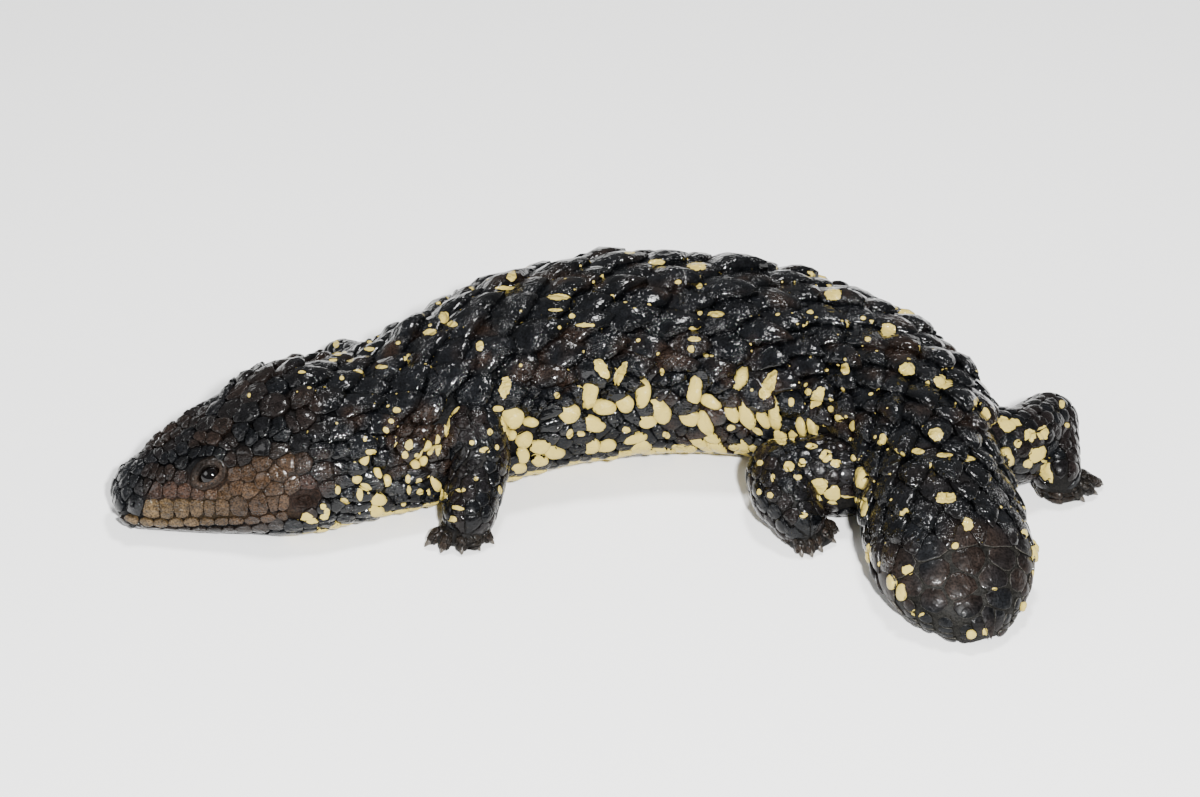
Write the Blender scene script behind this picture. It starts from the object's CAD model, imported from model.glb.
"""A shingleback lizard at rest: one skin with its scales, lids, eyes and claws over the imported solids.

The trunk is a surface of two parameters: s, the length along the bent spine from the snout in metres, and
turn, the angle round it in degrees, 0 on the crest of the back and positive to the animal's left. Legs,
feet and toes are tubes with the same two kinds of parameter. Every scale is a small plate laid on one of
these surfaces.
"""

import math

import bpy
import numpy as np
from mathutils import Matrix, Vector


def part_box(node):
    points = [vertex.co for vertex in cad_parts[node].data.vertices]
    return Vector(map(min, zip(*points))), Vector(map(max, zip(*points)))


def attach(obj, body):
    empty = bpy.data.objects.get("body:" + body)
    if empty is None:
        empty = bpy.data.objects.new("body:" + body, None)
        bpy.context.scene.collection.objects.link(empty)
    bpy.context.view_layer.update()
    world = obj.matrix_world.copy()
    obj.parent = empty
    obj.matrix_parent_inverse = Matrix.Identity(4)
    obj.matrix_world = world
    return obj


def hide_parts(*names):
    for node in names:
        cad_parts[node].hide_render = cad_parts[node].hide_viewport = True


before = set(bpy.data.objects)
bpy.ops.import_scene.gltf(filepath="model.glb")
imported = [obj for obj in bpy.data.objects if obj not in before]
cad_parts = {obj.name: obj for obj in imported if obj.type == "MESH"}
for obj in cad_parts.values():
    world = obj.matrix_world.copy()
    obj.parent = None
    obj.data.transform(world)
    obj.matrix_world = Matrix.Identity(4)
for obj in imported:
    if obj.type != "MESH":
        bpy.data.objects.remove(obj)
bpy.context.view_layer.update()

# The photograph: its size and the view that it was taken from
PHOTO_WIDTH, PHOTO_HEIGHT = 1200, 797
FOCAL_PIXELS = 3150.0
SENSOR = 36.0
VIEW_RISE = 35.0
VIEW_DISTANCE = 1.0

# The body, as in the part's source
LENGTH = 0.3585
SNOUT = (-0.1506, -0.0386)
HEADING = (
    (0, 18), (0.060, 17.5), (0.082, 22), (0.102, 29), (0.130, 26), (0.170, 8.5), (0.205, -9), (0.240, -34),
    (0.270, -62), (0.292, -82), (0.315, -84), (0.340, -74), (LENGTH, -66),
)
HALF_WIDTH = (
    (0, 0), (0.0015, 0.0068), (0.005, 0.0102), (0.012, 0.0136), (0.024, 0.0191), (0.038, 0.0248),
    (0.050, 0.0300), (0.058, 0.0313), (0.072, 0.0312), (0.086, 0.0316), (0.104, 0.0330), (0.130, 0.0359),
    (0.165, 0.0388), (0.205, 0.0383), (0.240, 0.0338), (0.268, 0.0284), (0.288, 0.0249), (0.303, 0.0230),
    (0.320, 0.0241), (0.334, 0.0237), (0.345, 0.0200), (0.3525, 0.0132), (0.357, 0.0062), (LENGTH, 0),
)
TOP = (
    (0, 0.0080), (0.0015, 0.0123), (0.005, 0.0164), (0.012, 0.0210), (0.024, 0.0273), (0.038, 0.0340),
    (0.050, 0.0393), (0.060, 0.0406), (0.070, 0.0386), (0.084, 0.0366), (0.104, 0.0415), (0.130, 0.0466),
    (0.165, 0.0488), (0.205, 0.0462), (0.240, 0.0422), (0.268, 0.0400), (0.288, 0.0372), (0.303, 0.0346),
    (0.320, 0.0313), (0.334, 0.0266), (0.345, 0.0200), (0.3525, 0.0143), (0.357, 0.0096), (LENGTH, 0.0070),
)
WIDEST = (
    (0, 0.0075), (0.012, 0.008), (0.038, 0.010), (0.060, 0.0115), (0.086, 0.0125), (0.130, 0.0185),
    (0.205, 0.021), (0.268, 0.019), (0.303, 0.015), (0.336, 0.011), (LENGTH, 0.007),
)
UNDERSIDE = (
    (0, 0.007), (0.0015, 0.0042), (0.005, 0.0032), (0.012, 0.0024), (0.024, 0.0011), (0.036, 0),
    (0.3565, 0), (0.3577, 0.003), (LENGTH, 0.006),
)
BELLY_PRESS = 0.002
BELLY_ROUND = 0.85
SWELLINGS = (
    (0.0215, 34, 0.0012, 0.008, 9),
    (0.0290, 36, 0.0014, 0.006, 8),
    (0.0277, 50, -0.0012, 0.0055, 12),
    (0.0450, 70, 0.0012, 0.009, 22),
    (0.0500, 114, 0.0005, 0.010, 14),
    (0.0070, 55, 0.0006, 0.004, 16),
)
LEGS = {
    "foreleg_left": (
        ((-0.0440, -0.0060, 0.0270, 0.0102), (-0.0385, -0.0250, 0.0245, 0.0104)),
        (
            (-0.0385, -0.0250, 0.0240, 0.0104),
            (-0.0379, -0.0305, 0.0175, 0.0097),
            (-0.0388, -0.0365, 0.0125, 0.0090),
            (-0.0402, -0.0445, 0.0082, 0.0080),
        ),
    ),
    "foreleg_right": (
        ((-0.0660, 0.0080, 0.0210, 0.0095), (-0.0740, 0.0235, 0.0145, 0.0088)),
        (
            (-0.0740, 0.0235, 0.0145, 0.0088),
            (-0.0795, 0.0320, 0.0105, 0.0078),
            (-0.0850, 0.0390, 0.0080, 0.0068),
        ),
    ),
    "hindleg_left": (
        (
            (0.0860, -0.0160, 0.0180, 0.0132),
            (0.0752, -0.0298, 0.0125, 0.0132),
            (0.0562, -0.0305, 0.0128, 0.0106),
        ),
        (
            (0.0562, -0.0305, 0.0128, 0.0106),
            (0.0576, -0.0385, 0.0110, 0.0106),
            (0.0610, -0.0462, 0.0080, 0.0080),
        ),
    ),
    "hindleg_right": (
        (
            (0.1120, -0.0220, 0.0180, 0.0128),
            (0.1290, -0.0188, 0.0148, 0.0120),
            (0.1424, -0.0032, 0.0128, 0.0094),
        ),
        (
            (0.1424, -0.0032, 0.0125, 0.0092),
            (0.1430, -0.0150, 0.0098, 0.0080),
            (0.1432, -0.0232, 0.0078, 0.0072),
        ),
    ),
}
# Feet: the flat's middle line and half widths, then each toe's root and tip, as plan points
PALM_HEIGHTS = (0.0062, 0.0046, 0.0032)
FEET = {
    "forefoot_left": (
        ((-0.0405, -0.0420), (-0.0420, -0.0465), (-0.0435, -0.0500)), (0.0072, 0.0076, 0.0072),
        (
            ((-0.0385, -0.0465), (-0.0343, -0.0492)), ((-0.0405, -0.0485), (-0.0380, -0.0520)),
            ((-0.0425, -0.0490), (-0.0424, -0.0536)), ((-0.0455, -0.0490), (-0.0478, -0.0530)),
            ((-0.0470, -0.0475), (-0.0522, -0.0506)),
        ),
    ),
    "forefoot_right": (
        ((-0.0850, 0.0375), (-0.0885, 0.0410), (-0.0915, 0.0435)), (0.0066, 0.0070, 0.0068),
        (
            ((-0.0900, 0.0395), (-0.0945, 0.0383)), ((-0.0915, 0.0420), (-0.0970, 0.0422)),
            ((-0.0920, 0.0440), (-0.0975, 0.0470)), ((-0.0905, 0.0455), (-0.0945, 0.0500)),
            ((-0.0880, 0.0455), (-0.0890, 0.0505)),
        ),
    ),
    "hindfoot_left": (
        ((0.0620, -0.0438), (0.0640, -0.0480), (0.0644, -0.0510)), (0.0080, 0.0080, 0.0068),
        (
            ((0.0680, -0.0460), (0.0722, -0.0446)), ((0.0672, -0.0486), (0.0708, -0.0494)),
            ((0.0642, -0.0500), (0.0670, -0.0530)), ((0.0628, -0.0505), (0.0644, -0.0550)),
            ((0.0608, -0.0500), (0.0616, -0.0550)),
        ),
    ),
    "hindfoot_right": (
        ((0.1432, -0.0205), (0.1445, -0.0240), (0.1474, -0.0244)), (0.0068, 0.0066, 0.0056),
        (
            ((0.1456, -0.0200), (0.1500, -0.0146)), ((0.1476, -0.0212), (0.1540, -0.0170)),
            ((0.1484, -0.0228), (0.1570, -0.0204)), ((0.1484, -0.0248), (0.1545, -0.0250)),
            ((0.1468, -0.0260), (0.1502, -0.0278)),
        ),
    ),
}
TOE_HEIGHTS = (0.0026, 0.0036, 0.0017)
TOE_RADII = (0.0023, 0.0021, 0.0015)
TOE_BEND = 0.55

# The head: mouth line, eye, ear and nostril
MOUTH = (
    (0, 94), (0.006, 87), (0.0085, 84.5), (0.012, 83), (0.016, 82), (0.022, 80.5), (0.032, 80.5),
    (0.039, 81.5), (0.046, 82), (LENGTH, 83),
)
MOUTH_END = 0.047
EYE_S, EYE_TURN, EYE_RADIUS, EYE_DEPTH = 0.0277, 46.8, 0.0042, 0.0026
EYE_OPENING = (0.0037, 0.0022)
LID_OUTER = (0.0062, 0.0045)
EYE_TILT = 0.16
EAR_S, EAR_TURN, EAR_HALF = 0.0540, 76.5, (0.0056, 0.0040)
NOSTRIL_S, NOSTRIL_TURN = 0.0056, 57.0
# Where the head's shields end and the neck's scutes begin
HEAD_END = 0.0575

# Middles of the crown's shields on one side as (s in mm, turn); those on the crest have no twin
CROWN = (
    (1.3, 0), (8.6, 0), (15.0, 0), (22.5, 0), (30.5, 0), (38.5, 0), (46.5, 0), (54.0, 0), (4.0, 30),
    (6.3, 22), (11.5, 19), (18.5, 16), (26.5, 15), (34.5, 14), (42.5, 15), (50.5, 16), (58.0, 14),
    (10.0, 38), (15.0, 33), (21.5, 30), (28.5, 29), (35.5, 28), (43.0, 31), (50.0, 33), (57.0, 31),
)
# The chin's first scales in the same way, under the snout
CHIN_FRONT = ((0.8, 180), (2.9, 180), (3.6, 142), (3.6, 218))
# Middles of the head's side scales in the photograph's pixels, and the number that marks the jaw's edge
JAW = 2
LIPS_ABOVE = (
    (153, 508), (166, 508), (181, 507), (196, 506), (209, 505.5), (221.5, 505), (237, 504.5), (257, 503.5),
    (276, 501),
)
LIPS_BELOW = (
    (131, 519.5), (146, 522), (161, 522.5), (176, 522), (191, 521.5), (206, 521), (221, 520.5),
    (236, 520.5), (252, 520), (268, 518.5), (284, 515.5),
)
JAW_EDGE = (
    (126, 525), (140, 528), (154, 530), (169, 531), (184, 531), (199, 531), (214, 531), (229, 531),
    (244, 530.5), (260, 529), (276, 526.5),
)
NASAL = (134, 502)
FACE = (
    (119, 498), (127, 483), (142, 487), (156, 489), (170, 489.5), (184, 490), (198, 494), (211, 494),
    (224, 492), (139, 470), (154, 473), (169, 473), (182, 477), (153, 457), (168, 459), (182, 463),
    (170, 447), (183, 450), (196, 453), (208, 452.5), (220, 454), (231, 460), (186, 438), (200, 440),
    (214, 440), (228, 445), (234, 474), (235, 488), (249, 490.5), (275, 490), (248, 473), (260, 465),
    (278, 474), (287, 462), (244, 457), (262, 448), (263, 478), (259, 503), (282, 502), (293, 486),
    (243, 433), (262, 432), (281, 436), (279, 450), (299, 443), (303, 462), (318, 452), (320, 471),
    (297, 425), (317, 434), (296, 511), (308, 514), (324, 507), (329, 489),
)

# Cream markings as the photograph shows them: middle x and y, half width and half height, in its pixels,
# and the lean in degrees, where there is any
MARKS = (
    (505, 387, 5, 11, 10), (512, 417, 9.5, 13, -10), (498, 409, 5, 3), (529, 422, 9, 4.5), (511, 435, 4, 5),
    (523, 440, 8, 8.5), (539, 446, 10.5, 6.5), (523, 455, 6, 8), (539, 460, 9.5, 4.5), (518, 467, 8, 4.5),
    (568, 413, 11.5, 9.5, 10), (588, 395, 8, 15.5, 8), (591, 423, 13.5, 7.5, 12), (603, 407, 13.5, 7.5, 8),
    (602, 369, 5.5, 11, -30), (620, 374, 4.5, 12.5, 27), (623, 402, 7.5, 13, -33), (642, 393, 8, 14.5, 5),
    (659, 410, 9.5, 14, -30), (646, 420, 10, 7), (694, 391, 7.5, 16.5, 10), (710, 401, 12.5, 6, 27),
    (690, 418, 12, 8, 38), (704, 423, 7, 15.5, -33), (740, 381, 6, 16, 24), (769, 385, 6, 15, 22),
    (732, 413, 6.5, 12, -38), (746, 415, 7, 17, -25), (763, 418, 5.5, 11.5, -30), (774, 416, 6, 18, -10),
    (553, 452, 10, 6), (592, 446, 8, 7), (606, 445, 10, 5, -20), (626, 430, 4, 3), (634, 438, 11, 4.5, -20),
    (640, 446, 11, 6, -8), (698, 440, 10, 5, 30), (712, 437, 9, 4.5, 20), (718, 446, 10, 4.5, 30),
    (734, 448, 6, 3), (743, 444, 6, 5, 20), (557, 395, 3, 3), (570, 434, 3, 5, 20), (581, 434, 4, 3),
    (666, 435, 4, 3, 30), (680, 448, 8, 3.5), (731, 428, 4, 3), (757, 431, 6, 3, 30), (520, 268, 10, 6),
    (512, 276, 5, 5), (505, 288, 9, 2), (558, 297, 11, 3), (555, 310, 7, 1.5), (444, 318, 5, 6),
    (452, 324, 5, 3), (572, 316, 3, 2.5), (585, 325, 9, 2), (657, 262, 8, 3), (697, 266, 9, 4),
    (704, 272, 6, 4), (678, 282, 3, 2), (699, 286, 3, 3), (700, 313, 2.5, 2), (716, 314, 8, 3),
    (695, 339, 6, 2.5), (691, 349, 3, 4), (706, 355, 2.5, 2), (480, 346, 4, 5), (684, 259, 7, 2),
    (630, 252, 5, 2), (531, 264, 4, 5), (662, 372, 2, 4), (833, 294, 8, 6), (888, 330, 7, 7),
    (907, 369, 8, 6.5), (943, 382, 9, 7), (953, 347, 5, 5), (982, 402, 8, 5.5), (845, 369, 4.5, 5.5),
    (936, 434, 7, 6), (883, 439, 3.5, 5), (918, 451, 6, 3), (944, 455, 9, 2), (969, 457, 7, 4),
    (946, 498, 10, 5.5), (968, 524, 5, 6.5), (955, 546, 3, 3.5), (1018, 526, 7, 6), (908, 570, 6, 5),
    (892, 582, 4, 7), (902, 592, 4.5, 8), (918, 613, 7, 3.5), (817, 398, 6, 11, 25), (810, 312, 3, 2),
    (863, 318, 2.5, 2), (868, 339, 3, 2.5), (763, 393, 3.5, 5, 20), (808, 392, 3, 3.5), (791, 402, 3, 4),
    (801, 426, 4.5, 10, -12), (813, 425, 4.5, 11, -12), (793, 436, 4, 6, -20), (842, 418, 5, 4),
    (831, 409, 3, 3), (852, 426, 3, 5), (780, 436, 5.5, 10, -28), (865, 478, 5, 10), (864, 507, 3.5, 10),
    (868, 553, 3, 10), (859, 458, 4, 4), (1005, 480, 4, 8), (1003, 421, 5, 5), (1014, 424, 7, 5),
    (1030, 435, 6, 6), (1043, 433, 6, 7), (1018, 444, 4, 4), (1034, 455, 5, 8), (1028, 464, 5, 4),
    (1046, 460, 5, 3.5), (1046, 471, 5, 8), (1062, 404, 3, 4), (1067, 425, 2.5, 2.5), (997, 402, 3, 4),
    (789, 466, 6, 5), (802, 463, 4, 4), (798, 476, 4, 4), (826, 456, 6, 6), (836, 463, 5, 4),
    (823, 484, 6, 5), (832, 490, 6, 5), (826, 497, 9, 4), (842, 500, 17, 4.5), (760, 463, 3, 3),
    (773, 478, 2, 4), (759, 492, 2.5, 3), (770, 495, 3, 3), (811, 446, 6, 3), (803, 515, 4, 3),
    (409, 445, 4, 5.5), (417, 452, 4.5, 9, 10), (413, 464, 5, 4.5), (405, 455, 3, 4),
    (425, 447, 4.5, 6, 30), (423, 461, 4, 5), (431, 449, 3, 6, 20), (377, 473, 4, 6), (386, 481, 4, 6),
    (364, 460, 4, 8, 15), (371, 452, 5, 3), (357, 479, 5, 4, -20), (365, 487, 6, 3.5, 20), (360, 494, 3, 6),
    (338, 490, 3, 4), (345, 501, 5, 2.5, 30), (324, 517, 4, 3), (327, 512, 3, 4), (374, 444, 2, 6, 30),
    (408, 479, 2.5, 4), (409, 490, 2, 5), (427, 487, 2, 8, -15), (378, 499, 8, 6), (375, 510, 8, 5),
    (438, 446, 3, 10), (440, 494, 8, 4, 20), (435, 484, 4, 9, -30), (419, 482, 3, 4), (420, 492, 3, 3),
    (397, 410, 4, 3), (391, 421, 3, 2.5), (386, 430, 3, 3), (397, 446, 3, 4), (323, 507, 3, 3),
    (305, 517, 8, 4), (312, 521, 6, 3), (336, 344, 3, 4), (350, 359, 4, 3), (358, 372, 5, 2.5),
    (369, 349, 5, 2), (381, 367, 6, 2), (333, 360, 4, 1.5), (337, 354, 4, 2), (302, 372, 4, 1.5),
    (342, 378, 2, 2), (249, 395, 1.5, 2.5), (365, 439, 2, 3), (398, 343, 2.5, 2), (430, 332, 7, 3),
    (490, 432, 2.5, 3), (485, 450, 5, 3), (472, 443, 2.5, 2.5), (497, 447, 2, 3), (454, 412, 7, 1.5, -45),
    (447, 427, 2.7, 9, 8), (476, 479, 2, 2), (461, 490, 5, 2), (458, 508, 6, 2.2, 10), (452, 519, 5, 3),
    (500, 490, 2, 4), (971, 633, 4, 4), (985, 632, 2.5, 3.5), (995, 589, 2.5, 1.5), (1012, 578, 2, 2),
)


def smooth_curve(table, at):
    """Cubic through a table's points whose slopes are harmonic means, so that it never swings past them."""
    places, values = np.array(table, float).T
    at = np.clip(np.asarray(at, float), places[0], places[-1])
    step = np.diff(places)
    rise = np.diff(values) / step
    slope = np.zeros_like(values)
    slope[0], slope[-1] = rise[0], rise[-1]
    before, after = rise[:-1], rise[1:]
    steady = before * after > 0
    near, far = 2 * step[1:] + step[:-1], step[1:] + 2 * step[:-1]
    blend = near / np.where(steady, before, 1) + far / np.where(steady, after, 1)
    slope[1:-1] = np.where(steady, (near + far) / blend, 0)
    k = np.clip(np.searchsorted(places, at, side="right") - 1, 0, len(step) - 1)
    u = (at - places[k]) / step[k]
    start = (1 + 2 * u) * (1 - u) ** 2 * values[k] + u * (1 - u) ** 2 * step[k] * slope[k]
    end = u * u * (3 - 2 * u) * values[k + 1] + u * u * (u - 1) * step[k] * slope[k + 1]
    return start + end


def short_step(table, at, half=1e-4):
    """How far a curve goes over a short step about a place."""
    return smooth_curve(table, at + half) - smooth_curve(table, at - half)


def spine_path(steps=1434):
    """Lengths, plan points and directions of the spine: the heading's cosine and sine, summed stepwise."""
    lengths = np.linspace(0, LENGTH, steps + 1)
    angle = np.radians(smooth_curve(HEADING, lengths))
    middle = (angle[1:] + angle[:-1]) / 2
    stride = LENGTH / steps
    x = SNOUT[0] + np.concatenate([[0], np.cumsum(np.cos(middle)) * stride])
    y = SNOUT[1] + np.concatenate([[0], np.cumsum(np.sin(middle)) * stride])
    return lengths, x, y, angle


SPINE = spine_path()


def flesh(s, turn):
    """Trunk's plain surface: an ellipse's arch over the widest level, a fuller bowl under it, cut by a floor.

    Over the level z is the level plus the arch's height times the cosine, under it the bowl's depth times the
    cosine to a power; the way across is the half width times the sine.
    """
    s, turn = np.broadcast_arrays(np.asarray(s, float), np.radians(turn))
    lengths, xs, ys, angles = SPINE
    inside = np.clip(s, 0, LENGTH)
    angle = np.interp(inside, lengths, angles)
    x = np.interp(inside, lengths, xs) + (s - inside) * np.cos(angle)
    y = np.interp(inside, lengths, ys) + (s - inside) * np.sin(angle)
    widest, low = smooth_curve(WIDEST, s), smooth_curve(UNDERSIDE, s)
    up, across = np.cos(turn), np.sin(turn)
    above = up > 0
    power = np.where(above, 1.0, BELLY_ROUND)
    reach = np.sign(across) * np.abs(across) ** power * smooth_curve(HALF_WIDTH, s)
    over = widest + (smooth_curve(TOP, s) - widest) * np.abs(up)
    under = widest - (widest - low + BELLY_PRESS) * np.abs(up) ** BELLY_ROUND
    z = np.maximum(np.where(above, over, under), low)
    return np.stack([x + reach * np.sin(angle), y - reach * np.cos(angle), z], -1)


def slopes(surface, p, q, dp=0.0004, dq=0.5):
    """Unit normal, and the way that the surface's points go per unit of p and of q, from differences."""
    along = (surface(p + dp, q) - surface(p - dp, q)) / (2 * dp)
    around = (surface(p, q + dq) - surface(p, q - dq)) / (2 * dq)
    normal = np.cross(around, along)
    normal /= np.maximum(np.linalg.norm(normal, axis=-1, keepdims=True), 1e-12)
    return normal, along, around


def frame_at(surface, p, q, **steps):
    """Unit normal and the metres per unit of p and q."""
    normal, along, around = slopes(surface, p, q, **steps)
    return normal, np.linalg.norm(along, axis=-1), np.linalg.norm(around, axis=-1)


def swelling(s, turn):
    """Sum of bell-shaped bulges and hollows on the head, alike on both sides."""
    height = np.zeros(np.broadcast(s, turn).shape)
    for at, side, rise, reach, spread in SWELLINGS:
        height += rise * np.exp(-(((s - at) / reach) ** 2) - ((np.abs(turn) - side) / spread) ** 2)
    return height


def trunk(s, turn, out=0.0):
    """Points of the trunk: flesh moved along its normal by the head's bulges and by out."""
    s, turn = np.broadcast_arrays(np.asarray(s, float), np.asarray(turn, float))
    normal = frame_at(flesh, np.clip(s, 0.001, LENGTH - 0.001), turn)[0]
    return flesh(s, turn) + normal * (swelling(s, turn) + out)[..., None]


def path_tables(points, *columns):
    """A path's length, and the tables of its x, y, z and further columns by the length so far."""
    at = np.concatenate([[0], np.cumsum(np.linalg.norm(np.diff(points, axis=0), axis=1))])
    return at[-1], [tuple(zip(at, column)) for column in (*points.T, *columns)]


def tube_of(points, radii):
    """Surface of a tube on a smooth path: p is the share of its length and q the angle from the top.

    The point is the path's point plus the radius times the sideways vector by the sine and the upward one by
    the cosine.
    """
    points = np.asarray(points, float)
    length, tables = path_tables(points, radii)

    def surface(p, q, out=0.0):
        """Points at places p and q, moved out by out."""
        p, q = np.broadcast_arrays(np.asarray(p, float) * length, np.radians(q))
        inside = np.clip(p, 0, length)
        place = np.stack([smooth_curve(table, inside) for table in tables[:3]], -1)
        ahead = np.stack([short_step(table, inside) for table in tables[:3]], -1)
        ahead /= np.linalg.norm(ahead, axis=-1, keepdims=True)
        sideways = np.cross(ahead, (0, 0, 1.0))
        sideways /= np.linalg.norm(sideways, axis=-1, keepdims=True)
        upward = np.cross(sideways, ahead)
        past = (p - inside) / np.maximum(smooth_curve(tables[3], inside), 1e-6)
        share = np.sqrt(np.clip(1 - past**2, 0, 1))
        radius = (smooth_curve(tables[3], inside) * share + out)[..., None]
        spot = place + ahead * (p - inside)[..., None]
        spot = spot + radius * (sideways * np.sin(q)[..., None] + upward * np.cos(q)[..., None])
        spot[..., 2] = np.maximum(spot[..., 2], 0)
        return spot

    surface.length = length
    surface.radii = radii
    surface.path = points
    return surface


def palm_of(line, widths):
    """Surface of a foot's flat: ovals along the plan line, p its share and q the angle from the top."""
    centre = np.array([(x, y, 0.55 * h) for (x, y), h in zip(line, PALM_HEIGHTS)])
    length, tables = path_tables(centre, widths, PALM_HEIGHTS)

    def surface(p, q, out=0.0):
        """Points at places p and q, moved out by out."""
        p, q = np.broadcast_arrays(np.asarray(p, float) * length, np.radians(q))
        inside = np.clip(p, 0, length)
        x, y, z, width, height = [smooth_curve(table, inside) for table in tables]
        dx, dy = [short_step(table, inside) for table in tables[:2]]
        size = np.hypot(dx, dy)
        dx, dy = dx / size, dy / size
        past = p - inside
        share = np.sqrt(np.clip(1 - (past / np.maximum(height, 1e-6)) ** 2, 0, 1))
        across = np.sin(q) * (width * share + out)
        up = np.cos(q) * (height * share + out)
        return np.stack([x + dx * past + dy * across, y + dy * past - dx * across, np.maximum(z + up, 0)], -1)

    surface.length = length
    return surface


def toe_line(root, tip):
    """Points of a toe: root, raised knuckle and tip."""
    root, tip = np.array(root), np.array(tip)
    plan = (root, root + (tip - root) * TOE_BEND, tip)
    return np.array([(*place, z) for place, z in zip(plan, TOE_HEIGHTS)])


LIMBS = {}
for limb, stretches in LEGS.items():
    for kind, stretch in zip(("upper", "lower"), stretches):
        line = np.array(stretch)
        LIMBS[f"{limb}_{kind}"] = tube_of(line[:, :3], line[:, 3])
PALMS = {foot: palm_of(line, widths) for foot, (line, widths, _) in FEET.items()}
TOES = {
    f"{foot}_{k + 1}": tube_of(toe_line(*toe), TOE_RADII)
    for foot, (_, _, toes) in FEET.items() for k, toe in enumerate(toes)
}

# The model stands over the origin, so everything moves by the difference between the eye's two places
eye_low, eye_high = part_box("eye_left")
EYE_HERE = (np.array(eye_low) + np.array(eye_high)) / 2
SHIFT = EYE_HERE - trunk(EYE_S, EYE_TURN, -EYE_DEPTH)
SHIFT[2] = 0.0
VIEW_TARGET = np.array([0, 0, 0.020]) + SHIFT
RISE = math.radians(VIEW_RISE)
VIEW_AHEAD = np.array([0, math.cos(RISE), -math.sin(RISE)])
VIEW_UP = np.array([0, math.sin(RISE), math.cos(RISE)])
VIEW_PLACE = VIEW_TARGET - VIEW_AHEAD * VIEW_DISTANCE


def in_photo(points):
    """Photograph's pixel of each point of the body, before the shift: a plain perspective view."""
    ray = points + SHIFT - VIEW_PLACE
    depth = ray @ VIEW_AHEAD
    return (
        PHOTO_WIDTH / 2 + FOCAL_PIXELS * ray[..., 0] / depth,
        PHOTO_HEIGHT / 2 - FOCAL_PIXELS * (ray @ VIEW_UP) / depth,
    )


MARK_TABLE = np.array([mark + (0,) * (5 - len(mark)) for mark in MARKS], float)
# A mark this big in both halves, in pixels, is a scale of its own; a smaller one is a fleck on others
OWN_SCALE = 3.9
# Metres that one of the photograph's pixels spans on the body
PIXEL = 0.00032
# The far side's markings are the seen side's, moved by this along the spine and by this many degrees
MIRROR_STEP, MIRROR_TURN = 0.006, 4
FAR_SIDE = -34


def off_middle(over, down, table):
    """Steps over and down the photograph in shares of a mark's halves, along its own leaning axes."""
    lean = np.radians(table[..., 4])
    return (
        (over * np.cos(lean) + down * np.sin(lean)) / table[..., 2],
        (down * np.cos(lean) - over * np.sin(lean)) / table[..., 3],
    )


def seen_places(surface, p_places, q_places, pixels):
    """For each pixel the (p, q) of the nearest camera-facing point of a surface, how far off and how deep."""
    p, q = [grid.ravel() for grid in np.meshgrid(p_places, q_places, indexing="ij")]
    points = surface(p, q)
    normal = frame_at(surface, p, q, dp=(p_places[1] - p_places[0]) / 2)[0]
    ray = points + SHIFT - VIEW_PLACE
    facing = (normal * ray).sum(-1) < 0
    p, q, points, ray = p[facing], q[facing], points[facing], ray[facing]
    x, y = in_photo(points)
    off = np.stack([np.hypot(x - at_x, y - at_y) for at_x, at_y in pixels])
    nearest = off.argmin(axis=1)
    return np.stack([p[nearest], q[nearest]], -1), off.min(axis=1), (ray @ VIEW_AHEAD)[nearest]


TRUNK_GRID = np.linspace(0.0006, LENGTH - 0.0006, 480), np.linspace(-100, 130, 300)


def marks_on_trunk():
    """Which marks lie on the trunk rather than on a nearer limb, and their (s, turn)."""
    pixels = MARK_TABLE[:, :2]
    places, off, depth = seen_places(trunk, *TRUNK_GRID, pixels)
    ours = off < 4
    for tube in LIMBS.values():
        _, tube_off, tube_depth = seen_places(tube, np.linspace(0, 1, 40), np.linspace(-180, 180, 90), pixels)
        ours &= ~((tube_off < 2.0) & (tube_depth < depth + 0.0015))
    return ours, places


def mark_offsets(points, first):
    """Each plate's offsets from its two nearest marks, in shares of their halves, as (2, plate, point, 2).

    A straight step over the plate is nearly a straight step in the photograph, so offsets blend evenly over
    a face and a mark's edge stays round on a coarse plate.
    """
    x, y = in_photo(points)
    table = MARK_TABLE[first]
    middle_x, middle_y = x[:, 0, None], y[:, 0, None]
    size = np.ptp(x, axis=1)[:, None] / 2 + np.ptp(y, axis=1)[:, None] / 2
    away = np.hypot(
        (middle_x - table[:, 0]) / (table[:, 2] + 0.5 * size),
        (middle_y - table[:, 1]) / (table[:, 3] + 0.5 * size),
    )
    chosen = np.argsort(away, axis=1)[:, :2]
    pick = table[chosen][..., None, :]
    off = np.stack(off_middle(x[:, None, :] - pick[..., 0], y[:, None, :] - pick[..., 1], pick), -1)
    off = np.where((np.take_along_axis(away, chosen, 1) < 1.6)[..., None, None], off, 9.0)
    return off.transpose(1, 0, 2, 3)


def cream_at(points, least=0.0):
    """How deep points lie in the photo's cream marks of at least that half: 0 at a rim, 1 in a middle."""
    x, y = in_photo(points)
    field = np.full(x.shape, -4.0)
    for mark in MARK_TABLE[MARK_TABLE[:, 2:4].min(axis=1) >= least]:
        over, down = off_middle(x - mark[0], y - mark[1], mark)
        field = np.maximum(field, 1 - over**2 - down**2)
    return field


def mirrored(s, turn):
    """Place on the seen side that a place on the far side takes its markings from."""
    return np.clip(s + MIRROR_STEP, 0.002, LENGTH - 0.002), -turn - MIRROR_TURN


def in_trunk(points, margin):
    """Whether points lie inside the trunk by more than margin, by the ellipse of the nearest section."""
    s, _, ratio, size = section_of(points)
    return (ratio < 1 - margin / size) & (s > 0) & (s < LENGTH)


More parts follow.
